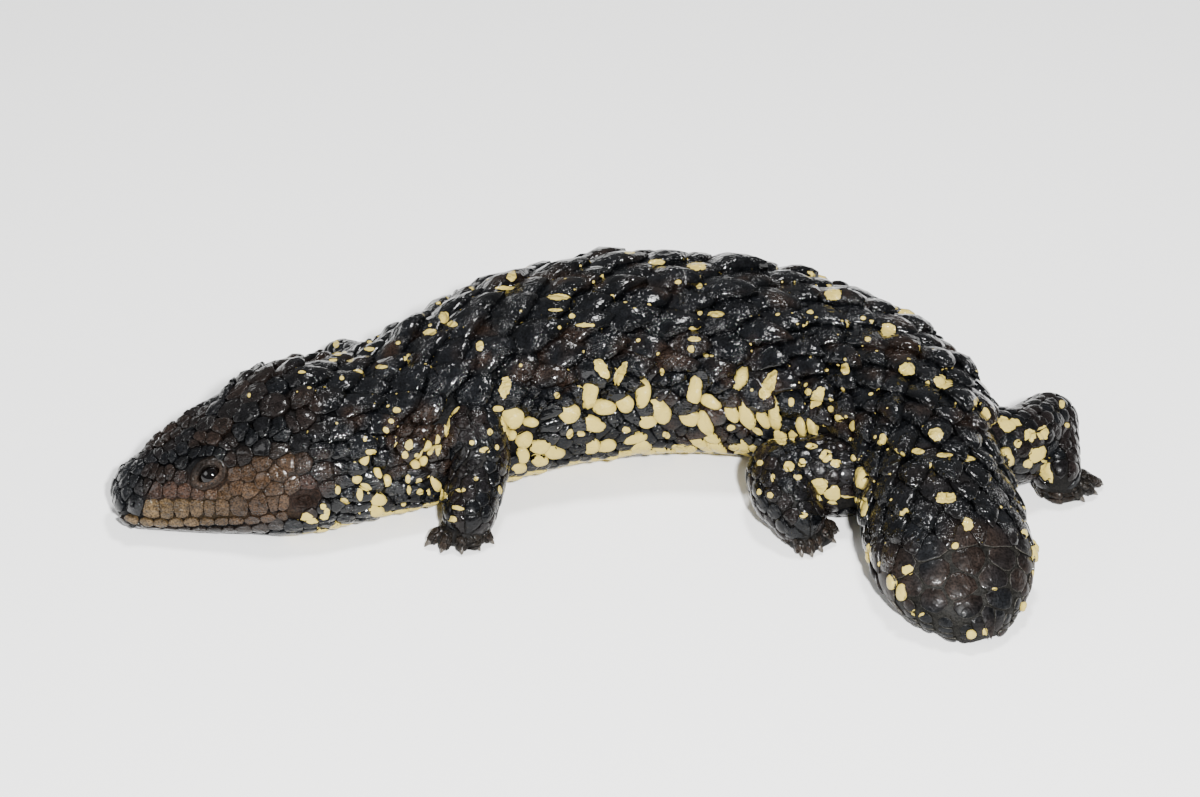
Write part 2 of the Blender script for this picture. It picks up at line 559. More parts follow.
def section_of(points):
    """Length along the spine, turn, share of the section's radius and the section's size, for each point."""
    lengths, xs, ys, angles = SPINE
    skip, batch = 6, 20000
    flat = points.reshape(-1, 3)
    nearest = np.empty(len(flat), int)
    for start in range(0, len(flat), batch):
        part = flat[start:start + batch]
        gap = (part[:, 0, None] - xs[::skip]) ** 2 + (part[:, 1, None] - ys[::skip]) ** 2
        nearest[start:start + batch] = gap.argmin(axis=1) * skip
    dx, dy = flat[:, 0] - xs[nearest], flat[:, 1] - ys[nearest]
    angle = angles[nearest]
    s = lengths[nearest] + dx * np.cos(angle) + dy * np.sin(angle)
    width = np.maximum(smooth_curve(HALF_WIDTH, s), 1e-4)
    widest = smooth_curve(WIDEST, s)
    across = (dx * np.sin(angle) - dy * np.cos(angle)) / width
    rise = flat[:, 2] - widest
    bowl = widest - smooth_curve(UNDERSIDE, s) + BELLY_PRESS
    depth = np.where(rise > 0, smooth_curve(TOP, s) - widest, bowl)
    up = rise / np.maximum(depth, 1e-4)
    power = np.where(rise > 0, 1.0, 1 / BELLY_ROUND)
    across_p = np.sign(across) * np.abs(across) ** power
    up_p = np.sign(up) * np.abs(up) ** power
    turn = np.degrees(np.arctan2(across_p, up_p))
    shape = points.shape[:-1]
    ratio = np.hypot(across_p, up_p)
    return s.reshape(shape), turn.reshape(shape), ratio.reshape(shape), width.reshape(shape)


def in_tube(tube, points, margin):
    """Whether points lie inside a leg's tube by more than margin, by the nearest point of its path."""
    shares, knots = np.linspace(0, 1, 25), np.linspace(0, 1, len(tube.path))
    line = np.stack([smooth_curve(tuple(zip(knots, column)), shares) for column in tube.path.T], -1)
    radii = np.interp(shares, knots, tube.radii)
    gap = np.linalg.norm(points[..., None, :] - line, axis=-1) - radii
    return gap.min(axis=-1) < -margin


def mesh_piece(name, points, faces, material):
    """An object from arrays of points and faces, quads or triangles, with the body's shift applied."""
    mesh = bpy.data.meshes.new(name)
    faces = [np.asarray(part) for part in faces if len(part)]
    counts = np.concatenate([np.full(len(part), part.shape[1]) for part in faces])
    corners = np.concatenate([part.ravel() for part in faces])
    mesh.vertices.add(len(points))
    mesh.vertices.foreach_set("co", (points + SHIFT).astype(np.float32).ravel())
    mesh.loops.add(len(corners))
    mesh.loops.foreach_set("vertex_index", corners.astype(np.int32))
    mesh.polygons.add(len(counts))
    mesh.polygons.foreach_set("loop_start", np.concatenate([[0], np.cumsum(counts)[:-1]]).astype(np.int32))
    mesh.polygons.foreach_set("loop_total", counts.astype(np.int32))
    mesh.update(calc_edges=True)
    mesh.validate()
    mesh.polygons.foreach_set("use_smooth", np.ones(len(mesh.polygons), bool))
    piece = bpy.data.objects.new(name, mesh)
    bpy.context.scene.collection.objects.link(piece)
    piece.data.materials.append(material)
    return piece


# The attributes that hold offsets from the nearest and the second nearest mark
MARK_NAMES = ("mark_1", "mark_2")


def give(piece, name, kind, values):
    """Stores an array of values on a piece's points as an attribute."""
    attribute = piece.data.attributes.new(name, kind, "POINT")
    field = {"FLOAT": "value", "FLOAT_COLOR": "color", "FLOAT_VECTOR": "vector"}[kind]
    attribute.data.foreach_set(field, np.asarray(values, np.float32).ravel())


def dress(piece, ground, marks, lie):
    """Stores what horn reads: ground colours, offsets from the two nearest marks, and how points lie."""
    give(piece, "ground", "FLOAT_COLOR", np.concatenate([ground, np.ones((len(ground), 1))], 1))
    for name, offsets in zip(MARK_NAMES, marks):
        give(piece, name, "FLOAT_VECTOR", offsets)
    give(piece, "lie", "FLOAT_VECTOR", lie)


# Scales

# Rings of a scale from its middle to its rim: share of the outline and share of the height
BIG_RINGS = ((0.38, 1.0), (0.74, 0.97), (0.95, 0.84), (1.0, 0.48), (0.95, None))
FLANK_RINGS = ((0.52, 0.99), (0.90, 0.82), (1.0, 0.36), (0.93, None))
HEAD_RINGS = ((0.45, 1.0), (0.84, 0.96), (0.97, 0.86), (1.0, 0.60), (0.97, None))
SMALL_RINGS = ((0.55, 0.99), (0.92, 0.84), (1.0, 0.50), (0.95, None))
TAIL_RINGS = ((0.55, 1.0), (0.90, 0.98), (0.97, 0.88), (1.0, 0.66), (0.98, None))
NOSTRIL_RINGS = (
    (0.13, -1.6), (0.19, 0.3), (0.25, 1.25), (0.33, 1.2), (0.45, 0.8), (0.85, 0.75), (1.0, 0.3), (0.93, None),
)
CREAM_RINGS = ((0.50, 0.99), (0.86, 0.86), (1.0, 0.36), (0.94, None))
BIG_CORNERS, SMALL_CORNERS, CREAM_CORNERS = 12, 10, 20


def spokes(corners):
    """Angles of an outline's corners, the first of them to the rear."""
    return np.arange(corners) * 2 * math.pi / corners


def cells(points, along, around, corners, gap, largest, weight, sharpness=13.0):
    """Rounded cell round each seed: in each direction, the soft least of the ways to its neighbours' seams.

    With d the distance of a neighbour, w its seam's share of it by the two weights, and c the cosine between
    it and the direction, the cell's edge is at w d / c, and the soft least of these is their inverse powers'
    sum to the inverse power.
    """
    near = min(22, len(points) - 1)
    gaps = np.linalg.norm(points[:, None] - points[None], axis=-1)
    np.fill_diagonal(gaps, 1e9)
    order = np.argpartition(gaps, near, axis=1)[:, :near]
    gaps = np.maximum(np.take_along_axis(gaps, order, 1), 1e-5)
    offset = points[order] - points[:, None]
    a = np.einsum("ijk,ik->ij", offset, along)
    b = np.einsum("ijk,ik->ij", offset, around)
    flat = np.maximum(np.hypot(a, b), 1e-7)
    angles = spokes(corners)
    cosine = (a / flat)[..., None] * np.cos(angles) + (b / flat)[..., None] * np.sin(angles)
    seam = gaps * weight[:, None] / (weight[:, None] + weight[order])
    inverse = np.maximum(cosine, 0) / seam[..., None]
    reach = np.maximum((inverse**sharpness).sum(axis=1), 1e-9) ** (-1 / sharpness)
    return np.minimum(reach, largest) - gap / 2


def tangents(surface, seeds, dp):
    """Place, outward normal, unit directions and metres per unit of p and q at each seed."""
    p, q = seeds.T
    normal, ahead, around = slopes(surface, p, q, dp)
    per_p, per_q = np.linalg.norm(ahead, axis=-1), np.linalg.norm(around, axis=-1)
    along = ahead / np.maximum(per_p, 1e-9)[:, None]
    return surface(p, q), normal, along, np.cross(along, normal), per_p, np.maximum(per_q, 2e-5)


def plates(surface, seeds, at, reach, rings, style, draw):
    """Points of many plates as (plate, point, 3), with their (a, b) offsets, shares, and (p, q).

    A plate is a fan of rings shrunk from its outline, whose rear is drawn out by the lap times the cosine.
    Its height is the ring's, times a rise from its low front to its tall rear, times a roof that falls to
    both sides, plus lumps. Its rim ends sunk in the skin.
    On a round end a plate lies on a ball through its seed instead of on the surface itself.
    """
    place, normal, along, around, per_p, per_q = at
    count, corners = reach.shape
    style = {key: np.broadcast_to(np.asarray(value, float), count)[:, None] for key, value in style.items()}
    angles = spokes(corners)
    a = reach * np.cos(angles)
    b = reach * np.sin(angles)
    a = np.where(a > 0, a * (1 + style["lap"] * np.cos(angles)), a)
    shares = np.array([ring[0] for ring in rings])
    levels = np.array([0.0 if ring[1] is None else ring[1] for ring in rings])
    rim = np.concatenate([[False], np.repeat([ring[1] is None for ring in rings], corners)])
    centre = np.zeros((count, 1))
    a, b = [
        np.concatenate([centre, (half[:, None] * shares[:, None]).reshape(count, -1)], 1) for half in (a, b)
    ]
    share = np.concatenate([[0.0], np.repeat(shares, corners)])
    level = np.concatenate([[levels[0]], np.repeat(levels, corners)])
    size = reach.mean(axis=1, keepdims=True)
    climb = np.clip((a / size + 1.0) / 1.9, 0, 1)
    rise = 1 - style["rise"] + style["rise"] * (0.10 + 0.95 * climb * climb * (3 - 2 * climb))
    roof = 1 - style["roof"] * np.clip(b / size, -1.2, 1.2) ** 2
    out = style["height"] * level * rise * roof
    lumps = style["height"] * style["lumps"] * draw.normal(0, 1, a.shape)
    out = out + lumps * np.clip(1.1 - share, 0.15, 1) * rise
    out = np.where(rim, -style["sink"], out)
    p, q = seeds[:, :1] + a / per_p[:, None], seeds[:, 1:] + b / per_q[:, None]
    points = surface(p, q, out)
    ball = style["ball"][:, 0] > 0
    if ball.any():
        radius = style["ball"][ball][..., None]
        ahead, aside, up = [way[ball, None] for way in (along, around, normal)]
        spoke = radius * up + a[ball][..., None] * ahead + b[ball][..., None] * aside
        spoke /= np.linalg.norm(spoke, axis=-1, keepdims=True)
        points[ball] = place[ball, None] - radius * up + spoke * (radius + out[ball][..., None])
    return points, a, b, share, p, q


def plate_faces(count, rings, corners):
    """Faces of that many plates: a fan of triangles in the middle and rings of quads round it."""
    k = np.arange(corners)
    after = (k + 1) % corners
    fan = np.stack([np.zeros(corners, int), 1 + k, 1 + after], -1)
    quads = np.concatenate([
        np.stack([inner + k, outer + k, outer + after, inner + after], -1)
        for inner, outer in ((1 + ring * corners, 1 + (ring + 1) * corners) for ring in range(rings - 1))
    ])
    start = np.arange(count)[:, None, None] * (1 + rings * corners)
    return (fan[None] + start).reshape(-1, 3), (quads[None] + start).reshape(-1, 4)


COAT = {}
PLAIN = {"height": 0.0005, "lap": 0.1, "rise": 0.3, "roof": 0.1, "sink": 0.0007, "lumps": 0.05, "ball": 0.0}


def lay(piece, surface, chart, seeds, at, reach, style, colours, draw, rings=SMALL_RINGS):
    """Lays one plate per seed on a surface and adds it to a coat piece, with its colours and its bake patch.

    chart is the (u, v, width, height) of the bake map that the surface's (p, q) fills.
    """
    points, a, b, share, p, q = plates(surface, seeds, at, reach, rings, {**PLAIN, **style}, draw)
    ground, marks = colours(seeds, points, p, q, share)
    u0, v0, wide, high = chart
    middle = np.stack([u0 + wide * seeds[:, 0], v0 + high * ((seeds[:, 1] + 180) % 360) / 360], -1)
    size = np.maximum(reach.mean(axis=1), 1e-4)[:, None, None]
    patch = middle[:, None] + 0.001 * np.stack([a, b], -1) / size
    number = draw.uniform(0, 10, (len(seeds), 1))
    lie = np.stack([a, b, np.broadcast_to(number, a.shape)], -1)
    three, four = plate_faces(len(seeds), len(rings), reach.shape[1])
    offsets = {name: each.reshape(-1, 2) for name, each in zip(MARK_NAMES, marks)}
    COAT.setdefault(piece, []).append({
        "points": points.reshape(-1, 3), "ground": ground.reshape(-1, 3), "patch": patch.reshape(-1, 2),
        "lie": lie.reshape(-1, 3), "rim": (share * np.clip(a / size[..., 0], 0, 1)).ravel(),
        "three": three, "four": four, **offsets,
    })


def finish_coat(name, material):
    """Joins what was laid on a coat piece into one mesh with its attributes and its bake map."""
    parts = COAT[name]
    starts = np.concatenate([[0], np.cumsum([len(part["points"]) for part in parts])[:-1]])
    kinds = ("three", "four")
    joined = {key: np.concatenate([part[key] for part in parts]) for key in parts[0] if key not in kinds}
    faces = [np.concatenate([part[kind] + start for part, start in zip(parts, starts)]) for kind in kinds]
    joined["points"][:, 2] = np.maximum(joined["points"][:, 2], 0.0)
    piece = mesh_piece(name, joined["points"], faces, material)
    flat = np.zeros((len(joined["points"]), 1))
    marks = [np.concatenate([joined[mark], flat], 1) for mark in MARK_NAMES]
    dress(piece, joined["ground"], marks, joined["lie"])
    give(piece, "rim", "FLOAT", joined["rim"])
    uv = piece.data.uv_layers.new(name="OFBake")
    corners = np.empty(len(piece.data.loops), np.int32)
    piece.data.loops.foreach_get("vertex_index", corners)
    uv.data.foreach_set("uv", joined["patch"][corners].astype(np.float32).ravel())
    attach(piece, "root")
    return piece


# Colours


def srgb(hex_code):
    """Linear red, green and blue of an sRGB hex value."""
    value = np.array([int(hex_code[i:i + 2], 16) / 255 for i in (1, 3, 5)])
    return np.where(value <= 0.04045, value / 12.92, ((value + 0.055) / 1.055) ** 2.4)


BLACK = srgb("#090a0c")
DARK_BROWN = srgb("#1a1411")
BODY_BROWN = srgb("#1c130e")
BROWN = srgb("#33231a")
TAN = srgb("#35271b")
LIP = srgb("#413422")
JAW_BROWN = srgb("#1d1815")
SNOUT_GREY = srgb("#121315")
LOBE = srgb("#291913")
FOOT = srgb("#171411")
SEAM_GREY = srgb("#46443f")
LEG_SKIN = srgb("#0d0c0b")
EAR_DARK = srgb("#1a120e")
MOUTH_DARK = srgb("#060505")
LID_DARK, LID_BROWN = srgb("#0e0b09"), srgb("#332820")
# Share of the belly's scales that are cream
PALE_BELLY = 0.62


def blend(first, second, share):
    """Mix of two colours, or arrays of them, by a share."""
    return first + (second - first) * np.clip(share, 0, 1)[..., None]


def bump_between(value, low, high, soft):
    """1 between low and high, falling softly to 0 outside."""
    return 1 / (1 + np.exp(-(value - low) / soft)) / (1 + np.exp((value - high) / soft))


def waves(points, size, seed):
    """Smooth noise from -1 to 1: a mean of sines of random directions with wavelengths near size."""
    draw = np.random.default_rng(seed)
    total = 0
    for _ in range(7):
        direction = draw.normal(0, 1, 3)
        direction /= np.linalg.norm(direction)
        wave, phase = size * draw.uniform(0.7, 1.4), draw.uniform(0, 6.3)
        total = total + np.sin(points @ direction * 2 * math.pi / wave + phase)
    return total / 3.2


def trunk_ground(s, turn, points):
    """Ground colour of the trunk: black with brown patches, tan cheeks and lips, a grey snout."""
    side = np.abs(turn)
    mm = s * 1000
    colour = np.broadcast_to(BLACK, (*s.shape, 3))
    patches = waves(points, 0.030, 3) + 0.9 * waves(points, 0.011, 4)
    brown = patches - 0.75 + 0.6 * bump_between(side, 20, 85, 8)
    brown = brown * bump_between(mm, 55, 300, 12)
    colour = blend(colour, DARK_BROWN, 1.5 * brown)
    colour = blend(colour, BODY_BROWN, 1.1 * (brown - 0.4))
    tail = bump_between(mm, 328, 400, 3) * np.clip(0.55 + 0.9 * waves(points, 0.022, 5), 0, 1)
    colour = blend(colour, DARK_BROWN, tail)
    crown = bump_between(mm, 8, 60, 3) * bump_between(side, -1, 46, 5)
    colour = blend(colour, DARK_BROWN, crown * np.clip(0.45 + waves(points, 0.012, 6), 0, 1))
    lore = bump_between(mm, 9, 34, 1.5) * bump_between(side, 47, 70, 3)
    colour = blend(colour, BROWN, 0.85 * lore)
    cheek = bump_between(mm, 31, 53, 2.0) * bump_between(side, 47, 91, 2)
    colour = blend(colour, TAN, 0.95 * cheek)
    lips = bump_between(mm, 8.2, 37, 0.8) * bump_between(side, 65, 90.5, 1.0)
    colour = blend(colour, LIP, (0.95 - 0.35 * np.clip((mm - 12) / 24, 0, 1)) * lips)
    snout = bump_between(mm, -5, 8.2, 0.5)
    colour = blend(colour, SNOUT_GREY, 0.85 * snout)
    lobe = np.exp(-(((mm - 56.5) / 3.2) ** 2) - ((side - 71.5) / 5.0) ** 2)
    colour = blend(colour, LOBE, 1.3 * lobe)
    under = bump_between(side, 91, 200, 1.0) * bump_between(mm, -5, 50, 4)
    return blend(colour, SNOUT_GREY, 0.75 * under)


def whole_marks(share, count):
    """Offsets that fill whole plates: the ring's share as the distance from a mark's middle."""
    shape = (count, len(share))
    return np.stack([np.broadcast_to(share * 0.985, shape), np.zeros(shape)], -1)


def trunk_colours(own, flecks, lips):
    """Colours of the trunk's plates: ground by place with its own tone, cream on plates that are marks.

    own says which seeds are whole cream scales, flecks which marks are small ones that lie on others, and
    lips which seeds are lips or the jaw's edge.
    """
    def colours(seeds, points, p, q, share):
        """Ground colours of the plates' points, and their offsets from marks."""
        draw = np.random.default_rng(len(seeds))
        s, side = seeds[:, 0], np.abs(seeds[:, 1])
        tone = draw.uniform(0.8, 1.25, (len(seeds), 1, 1))
        whole = trunk_ground(s, seeds[:, 1], points[:, 0])[:, None]
        fade = np.clip((s - 0.012) / 0.026, 0, 1)
        whole[np.abs(lips) == 1] = blend(LIP, 0.75 * TAN, fade)[np.abs(lips) == 1, None]
        whole[lips == JAW] = JAW_BROWN
        ground = tone * np.where(seeds[:, :1, None] < HEAD_END, whole, trunk_ground(p, q, points))
        edge = np.clip((share - 0.55) / 0.45, 0, 1)[None, :, None]
        on_head = bump_between(s, -0.1, HEAD_END, 0.0005)[:, None, None]
        on_tail = bump_between(s, TAIL_END, 1.0, 0.0005)[:, None, None]
        ground = ground * (1 - (0.55 - 0.3 * on_head - 0.45 * on_tail) * edge)
        ground = blend(ground, SEAM_GREY, np.clip((share - 0.98) / 0.02, 0, 1) * on_tail[..., 0])
        looks = points.copy()
        far = seeds[:, 1] < FAR_SIDE
        if far.any():
            looks[far] = trunk(*mirrored(p[far], q[far]))
        marks = mark_offsets(looks, flecks)
        belly = (side > 108) & (s > 0.050) & (s < 0.285)
        pale = own | (belly & (draw.uniform(0, 1, len(seeds)) < PALE_BELLY))
        marks[0][pale] = whole_marks(share, len(seeds))[pale]
        return ground, marks
    return colours


def limb_colours(base, brown_share):
    """Colours of a limb's plates: black and brown, and cream where its middle is inside a mark."""
    def colours(seeds, points, p, q, share):
        """Ground colours of the plates' points, and their offsets from marks."""
        count = len(seeds)
        draw = np.random.default_rng(int(1e5 * abs(points[0, 0, 0])) + count)
        brown = np.clip(0.4 + waves(points[:, 0], 0.014, 8) + draw.normal(0, 0.2, count), 0, 1) * brown_share
        tone = blend(np.broadcast_to(base, (count, 3)), BROWN, brown) * draw.uniform(0.7, 1.3, (count, 1))
        ground = tone[:, None] * (1 - 0.35 * np.clip((share - 0.55) / 0.45, 0, 1))[None, :, None]
        marks = mark_offsets(points, np.arange(len(MARKS)))
        inside = cream_at(points[:, 0], 4.5) > 0.2
        marks[0][inside] = whole_marks(share, count)[inside]
        return ground, marks
    return colours


# Seeds


def lattice(rows, counts, nudge, draw):
    """Seeds in rows along p, the given count round each: every other row half a step over, all nudged."""
    seeds = []
    pitch = np.gradient(rows)
    for row, (p, count) in enumerate(zip(rows, np.broadcast_to(counts, len(rows)))):
        step = 360 / count
        turn = step * (np.arange(count) + 0.5 * (row % 2)) - 180
        p = p + draw.uniform(-nudge, nudge, count) * pitch[row]
        seeds.append(np.stack([p, turn + draw.uniform(-nudge, nudge, count) * step], -1))
    seeds = np.concatenate(seeds)
    seeds[:, 1] = (seeds[:, 1] + 180) % 360 - 180
    return seeds


def row_places(start, end, spacing):
    """Places of rows from start to end, a step apart that a table gives by place."""
    places = [start]
    while places[-1] < end:
        places.append(places[-1] + float(smooth_curve(spacing, places[-1])))
    return np.array(places[:-1])


def girth(s):
    """Length round the trunk at each place."""
    ring = trunk(np.asarray(s)[:, None], np.linspace(-180, 180, 121)[None, :])
    return np.linalg.norm(np.diff(ring, axis=1), axis=-1).sum(axis=1)


def per_row(rows, width):
    """Count of scales of a width round each row."""
    return np.round(girth(rows) / width).astype(int)


def clear_of(seeds, taken, least):
    """Seeds that are farther than least from every taken one; least is one value or one per taken seed."""
    gaps = np.linalg.norm(trunk(*seeds.T)[:, None] - trunk(*taken.T)[None], axis=-1)
    return seeds[(gaps > least).all(axis=1)]


# Steps between rows by place, and the turn at which the back's raised scutes end
BACK_ROWS = (
    (0.058, 0.0060), (0.085, 0.0068), (0.120, 0.0082), (0.250, 0.0084), (0.300, 0.0074), (0.350, 0.0062),
)
FLANK_ROWS = ((0.058, 0.0036), (0.100, 0.0040), (0.130, 0.0043), (0.260, 0.0045), (0.330, 0.0046))
BACK_EDGE = ((0.056, 52), (0.080, 58), (0.110, 72), (0.250, 76), (0.290, 84), (0.320, 98), (0.336, 104))
BACK_COUNT = 14
# The tail's end: where its large plates begin, their rows and width, and the small plates round its low rim
TAIL_END = 0.3350
TAIL_ROWS = (0.3370, 0.3432, 0.3488, 0.3538, 0.3575)
TAIL_SPACING = 0.0096
RIM_START, RIM_TURN = 0.342, 82
RIM_ROWS = np.array([0.3452, 0.3494, 0.3534, 0.3568])
RIM_TURNS = np.array([88.0, 100.0, 112.0, 124.0])
# A plate's share of the way to its neighbour goes by their weights, in metres
HEAD_WEIGHT, LIP_WEIGHT, JAW_WEIGHT, EYE_WEIGHT, EAR_WEIGHT = 0.0030, 0.0012, 0.0016, 0.0092, 0.0060
LARGE_WEIGHT, SMALL_WEIGHT = 0.0046, 0.0026
SCUTE_HEIGHT = (
    (0.056, 0.0031), (0.080, 0.0036), (0.130, 0.0038), (0.240, 0.0036), (0.290, 0.0027), (0.318, 0.0017),
    (0.334, 0.0010), (0.336, 0.0004), (LENGTH, 0.0004),
)


def head_seeds():
    """Seeds of the head with their weights and kinds: 1 a lip over the mouth, -1 one under it, JAW or 0.

    The eye and the ear have seeds as well, so that the scales round them end at their rims.
    """
    crown = np.array(CROWN) / (1000, 1)
    tables = (
        (LIPS_ABOVE, 1, HEAD_WEIGHT), (LIPS_BELOW, -1, LIP_WEIGHT), (JAW_EDGE, JAW, JAW_WEIGHT),
        (FACE + (NASAL,), 0, HEAD_WEIGHT),
    )
    rows = [(pixel, kind, weight) for table, kind, weight in tables for pixel in table]
    pixels, kinds, weights = zip(*rows)
    side = seen_places(trunk, *TRUNK_GRID, pixels)[0]
    side[-1] = NOSTRIL_S, NOSTRIL_TURN
    left = np.concatenate([side, [(EYE_S, EYE_TURN), (EAR_S, EAR_TURN)], crown[crown[:, 1] != 0]])
    weight, lips = np.full(len(left), HEAD_WEIGHT), np.zeros(len(left))
    weight[:len(rows) + 2] = (*weights, EYE_WEIGHT, EAR_WEIGHT)
    lips[:len(rows)] = kinds
    middle = np.concatenate([crown[crown[:, 1] == 0], np.array(CHIN_FRONT) / (1000, 1)])
    return (
        np.concatenate([middle, left, left * (1, -1)]),
        np.concatenate([np.full(len(middle), HEAD_WEIGHT), weight, weight]),
        np.concatenate([np.zeros(len(middle)), lips, lips]),
    )


def mark_seeds():
    """Seeds of both sides' whole cream scales, their marks' numbers and mean halves, and the small marks."""
    ours, places = marks_on_trunk()
    big = ours & (MARK_TABLE[:, 2:4].min(axis=1) >= OWN_SCALE) & (places[:, 0] > 0.062) & (places[:, 1] > 56)
    marked, numbers = places[big], np.flatnonzero(big)
    far = marked[:, 1] > 40
    twins = np.stack([marked[far, 0] - MIRROR_STEP, -marked[far, 1] - MIRROR_TURN], -1)
    marked, numbers = np.concatenate([marked, twins]), np.concatenate([numbers, numbers[far]])
    return marked, numbers, MARK_TABLE[numbers, 2:4].mean(axis=1) * PIXEL, np.flatnonzero(~big)


def tail_seeds(draw):
    """Seeds of the tail's end: rows of large plates, small ones round its low rim, and one on its tip."""
    tail = lattice(np.array(TAIL_ROWS), per_row(TAIL_ROWS, TAIL_SPACING), 0.08, draw)
    tail = tail[~((tail[:, 0] > RIM_START) & (np.abs(tail[:, 1]) > RIM_TURN))]
    turns = np.concatenate([RIM_TURNS, -RIM_TURNS])
    rim = np.stack(np.meshgrid(RIM_ROWS, turns, indexing="ij"), -1).reshape(-1, 2)
    rim[:, 1] += np.where(np.round((rim[:, 0] - RIM_ROWS[0]) / 0.004) % 2 == 0, 0.0, 5.0)
    return np.concatenate([tail, clear_of(rim, tail, 0.0034), [[LENGTH - 0.0002, 0.0]]])


def chin_seeds(draw):
    """Seeds of the small scales under the jaw and on the throat."""
    rows = np.arange(0.0045, 0.0600, 0.0046)
    chin = lattice(rows, per_row(rows, 0.0052), 0.15, draw)
    side = np.abs(chin[:, 1])
    return chin[((side > smooth_curve(MOUTH, chin[:, 0]) + 9) | (chin[:, 0] > 0.052)) & (side > 60)]


def trunk_seeds(draw):
    """All seeds of the trunk, the number of each one's cream mark or -1, small marks, weights and lips."""
    head, head_weight, head_lips = head_seeds()
    marked, numbers, size, small = mark_seeds()
    back = lattice(row_places(0.0600, 0.3340, BACK_ROWS), BACK_COUNT, 0.15, draw)
    back = back[np.abs(back[:, 1]) < smooth_curve(BACK_EDGE, back[:, 0])]
    rows = row_places(0.0590, 0.3340, FLANK_ROWS)
    flank = lattice(rows, per_row(rows, 1.18 * smooth_curve(FLANK_ROWS, rows)), 0.18, draw)
    flank = flank[np.abs(flank[:, 1]) > smooth_curve(BACK_EDGE, flank[:, 0]) - 22]
    tail = tail_seeds(draw)
    chin = clear_of(chin_seeds(draw), head, 0.0036)
    # Seeds give way to those that are already there, flanks to the back before it gives way to head and tail
    back = clear_of(back, marked, 0.0022 + 0.6 * size)
    flank = clear_of(flank, marked, 0.0012 + 0.9 * size)
    for taken, least in ((back, 0.0044), (head, 0.0036), (chin, 0.0032), (tail, 0.0048)):
        flank = clear_of(flank, taken, least)
    back = clear_of(clear_of(back, head, 0.0048), tail, 0.0054)
    groups = ((back, LARGE_WEIGHT), (flank, SMALL_WEIGHT), (tail, LARGE_WEIGHT), (chin, SMALL_WEIGHT))
    seeds = np.concatenate([head, marked, *(group for group, _ in groups)])
    weights = [np.full(len(group), each) for group, each in groups]
    weight = np.concatenate([head_weight, 0.0004 + 0.9 * size, *weights])
    owner, lips = np.full(len(seeds), -1), np.zeros(len(seeds))
    owner[len(head):len(head) + len(marked)] = numbers
    lips[:len(head)] = head_lips
    return seeds, owner, small, weight, lips


def mark_reach(seeds, at, owner, corners):
    """Outline of each mark in the plate's own directions: the photograph's oval seen back on the surface."""
    place, _, along, around, _, _ = at
    here = seeds.copy()
    step = 0.0005
    far = seeds[:, 1] < FAR_SIDE
    if far.any():
        here[far] = np.stack(mirrored(*here[far].T), -1)
        place, _, along, around, _, _ = tangents(trunk, here, 0.0004)
    x0, y0 = in_photo(place)
    xa, ya = [(far_end - start) / step for far_end, start in zip(in_photo(place + along * step), (x0, y0))]
    xb, yb = [(far_end - start) / step for far_end, start in zip(in_photo(place + around * step), (x0, y0))]
    angles = spokes(corners)
    cosine = np.cos(angles)
    sine = np.sin(angles) * np.where(far, -1, 1)[:, None]
    steps = [cosine * a[:, None] + sine * b[:, None] for a, b in ((xa, xb), (ya, yb))]
    return 1 / np.hypot(*off_middle(*steps, MARK_TABLE[owner, None]))


# Gap between plates, the largest reach of one, and how far lips stay from the mouth's line
SEAM, LARGEST, MOUTH_GAP = 0.00016, 0.0082, 0.00032
# The trunk's place on the bake map, and where the back's scutes are parted into three pieces
TRUNK_CHART = (0.01, 0.01, 0.98 / LENGTH, 0.60)
SCUTE_PIECES = (("scutes_front", 0, 0.150), ("scutes_middle", 0.150, 0.235), ("scutes_rear", 0.235, 1))


def plain_reach(seeds, at, weight, lips, own):
    """Outlines of the trunk's plates; they run on under a cream scale, which counts as a small one here."""
    s, side = seeds[:, :1], np.abs(seeds[:, 1])
    reach = cells(at[0], at[2], at[3], BIG_CORNERS, SEAM, LARGEST, np.where(own, 0.3 * weight, weight))
    is_lip = np.where(np.abs(lips) == 1, lips, 0)[:, None] * (s < MOUTH_END)
    to_mouth = np.clip(is_lip * np.sign(seeds[:, 1:]) * np.sin(spokes(BIG_CORNERS)), 0, 1)
    reach -= MOUTH_GAP * to_mouth**2
    # Round the tail's low rim, which bends sharply, plates are small
    low_rim = (s[:, 0] > 0.340) & (side > 84)
    reach[low_rim] = np.minimum(0.86 * reach[low_rim], 0.0024)
    return reach


def cream_reach(seeds, at, weight, owner, draw):
    """Outlines of cream scales: the photograph's oval with soft lobes, cut only by other cream scales."""
    own = owner >= 0
    at = tuple(part[own] for part in at)
    alone = cells(at[0], at[2], at[3], CREAM_CORNERS, SEAM, LARGEST, weight[own])
    oval = mark_reach(seeds[own], at, owner[own], CREAM_CORNERS)
    lobes = draw.normal(0, 1, (3, own.sum(), 1))
    angles = spokes(CREAM_CORNERS)
    two, three = np.cos(2 * angles + lobes[1]), np.cos(3 * angles + 3 * lobes[2])
    oval = oval * (1.04 + 0.07 * lobes[0] * two + 0.06 * three)
    reach = np.ones((len(seeds), CREAM_CORNERS))
    reach[own] = ((1.22 * alone) ** -8.0 + oval**-8.0) ** (-1 / 8.0)
    return reach


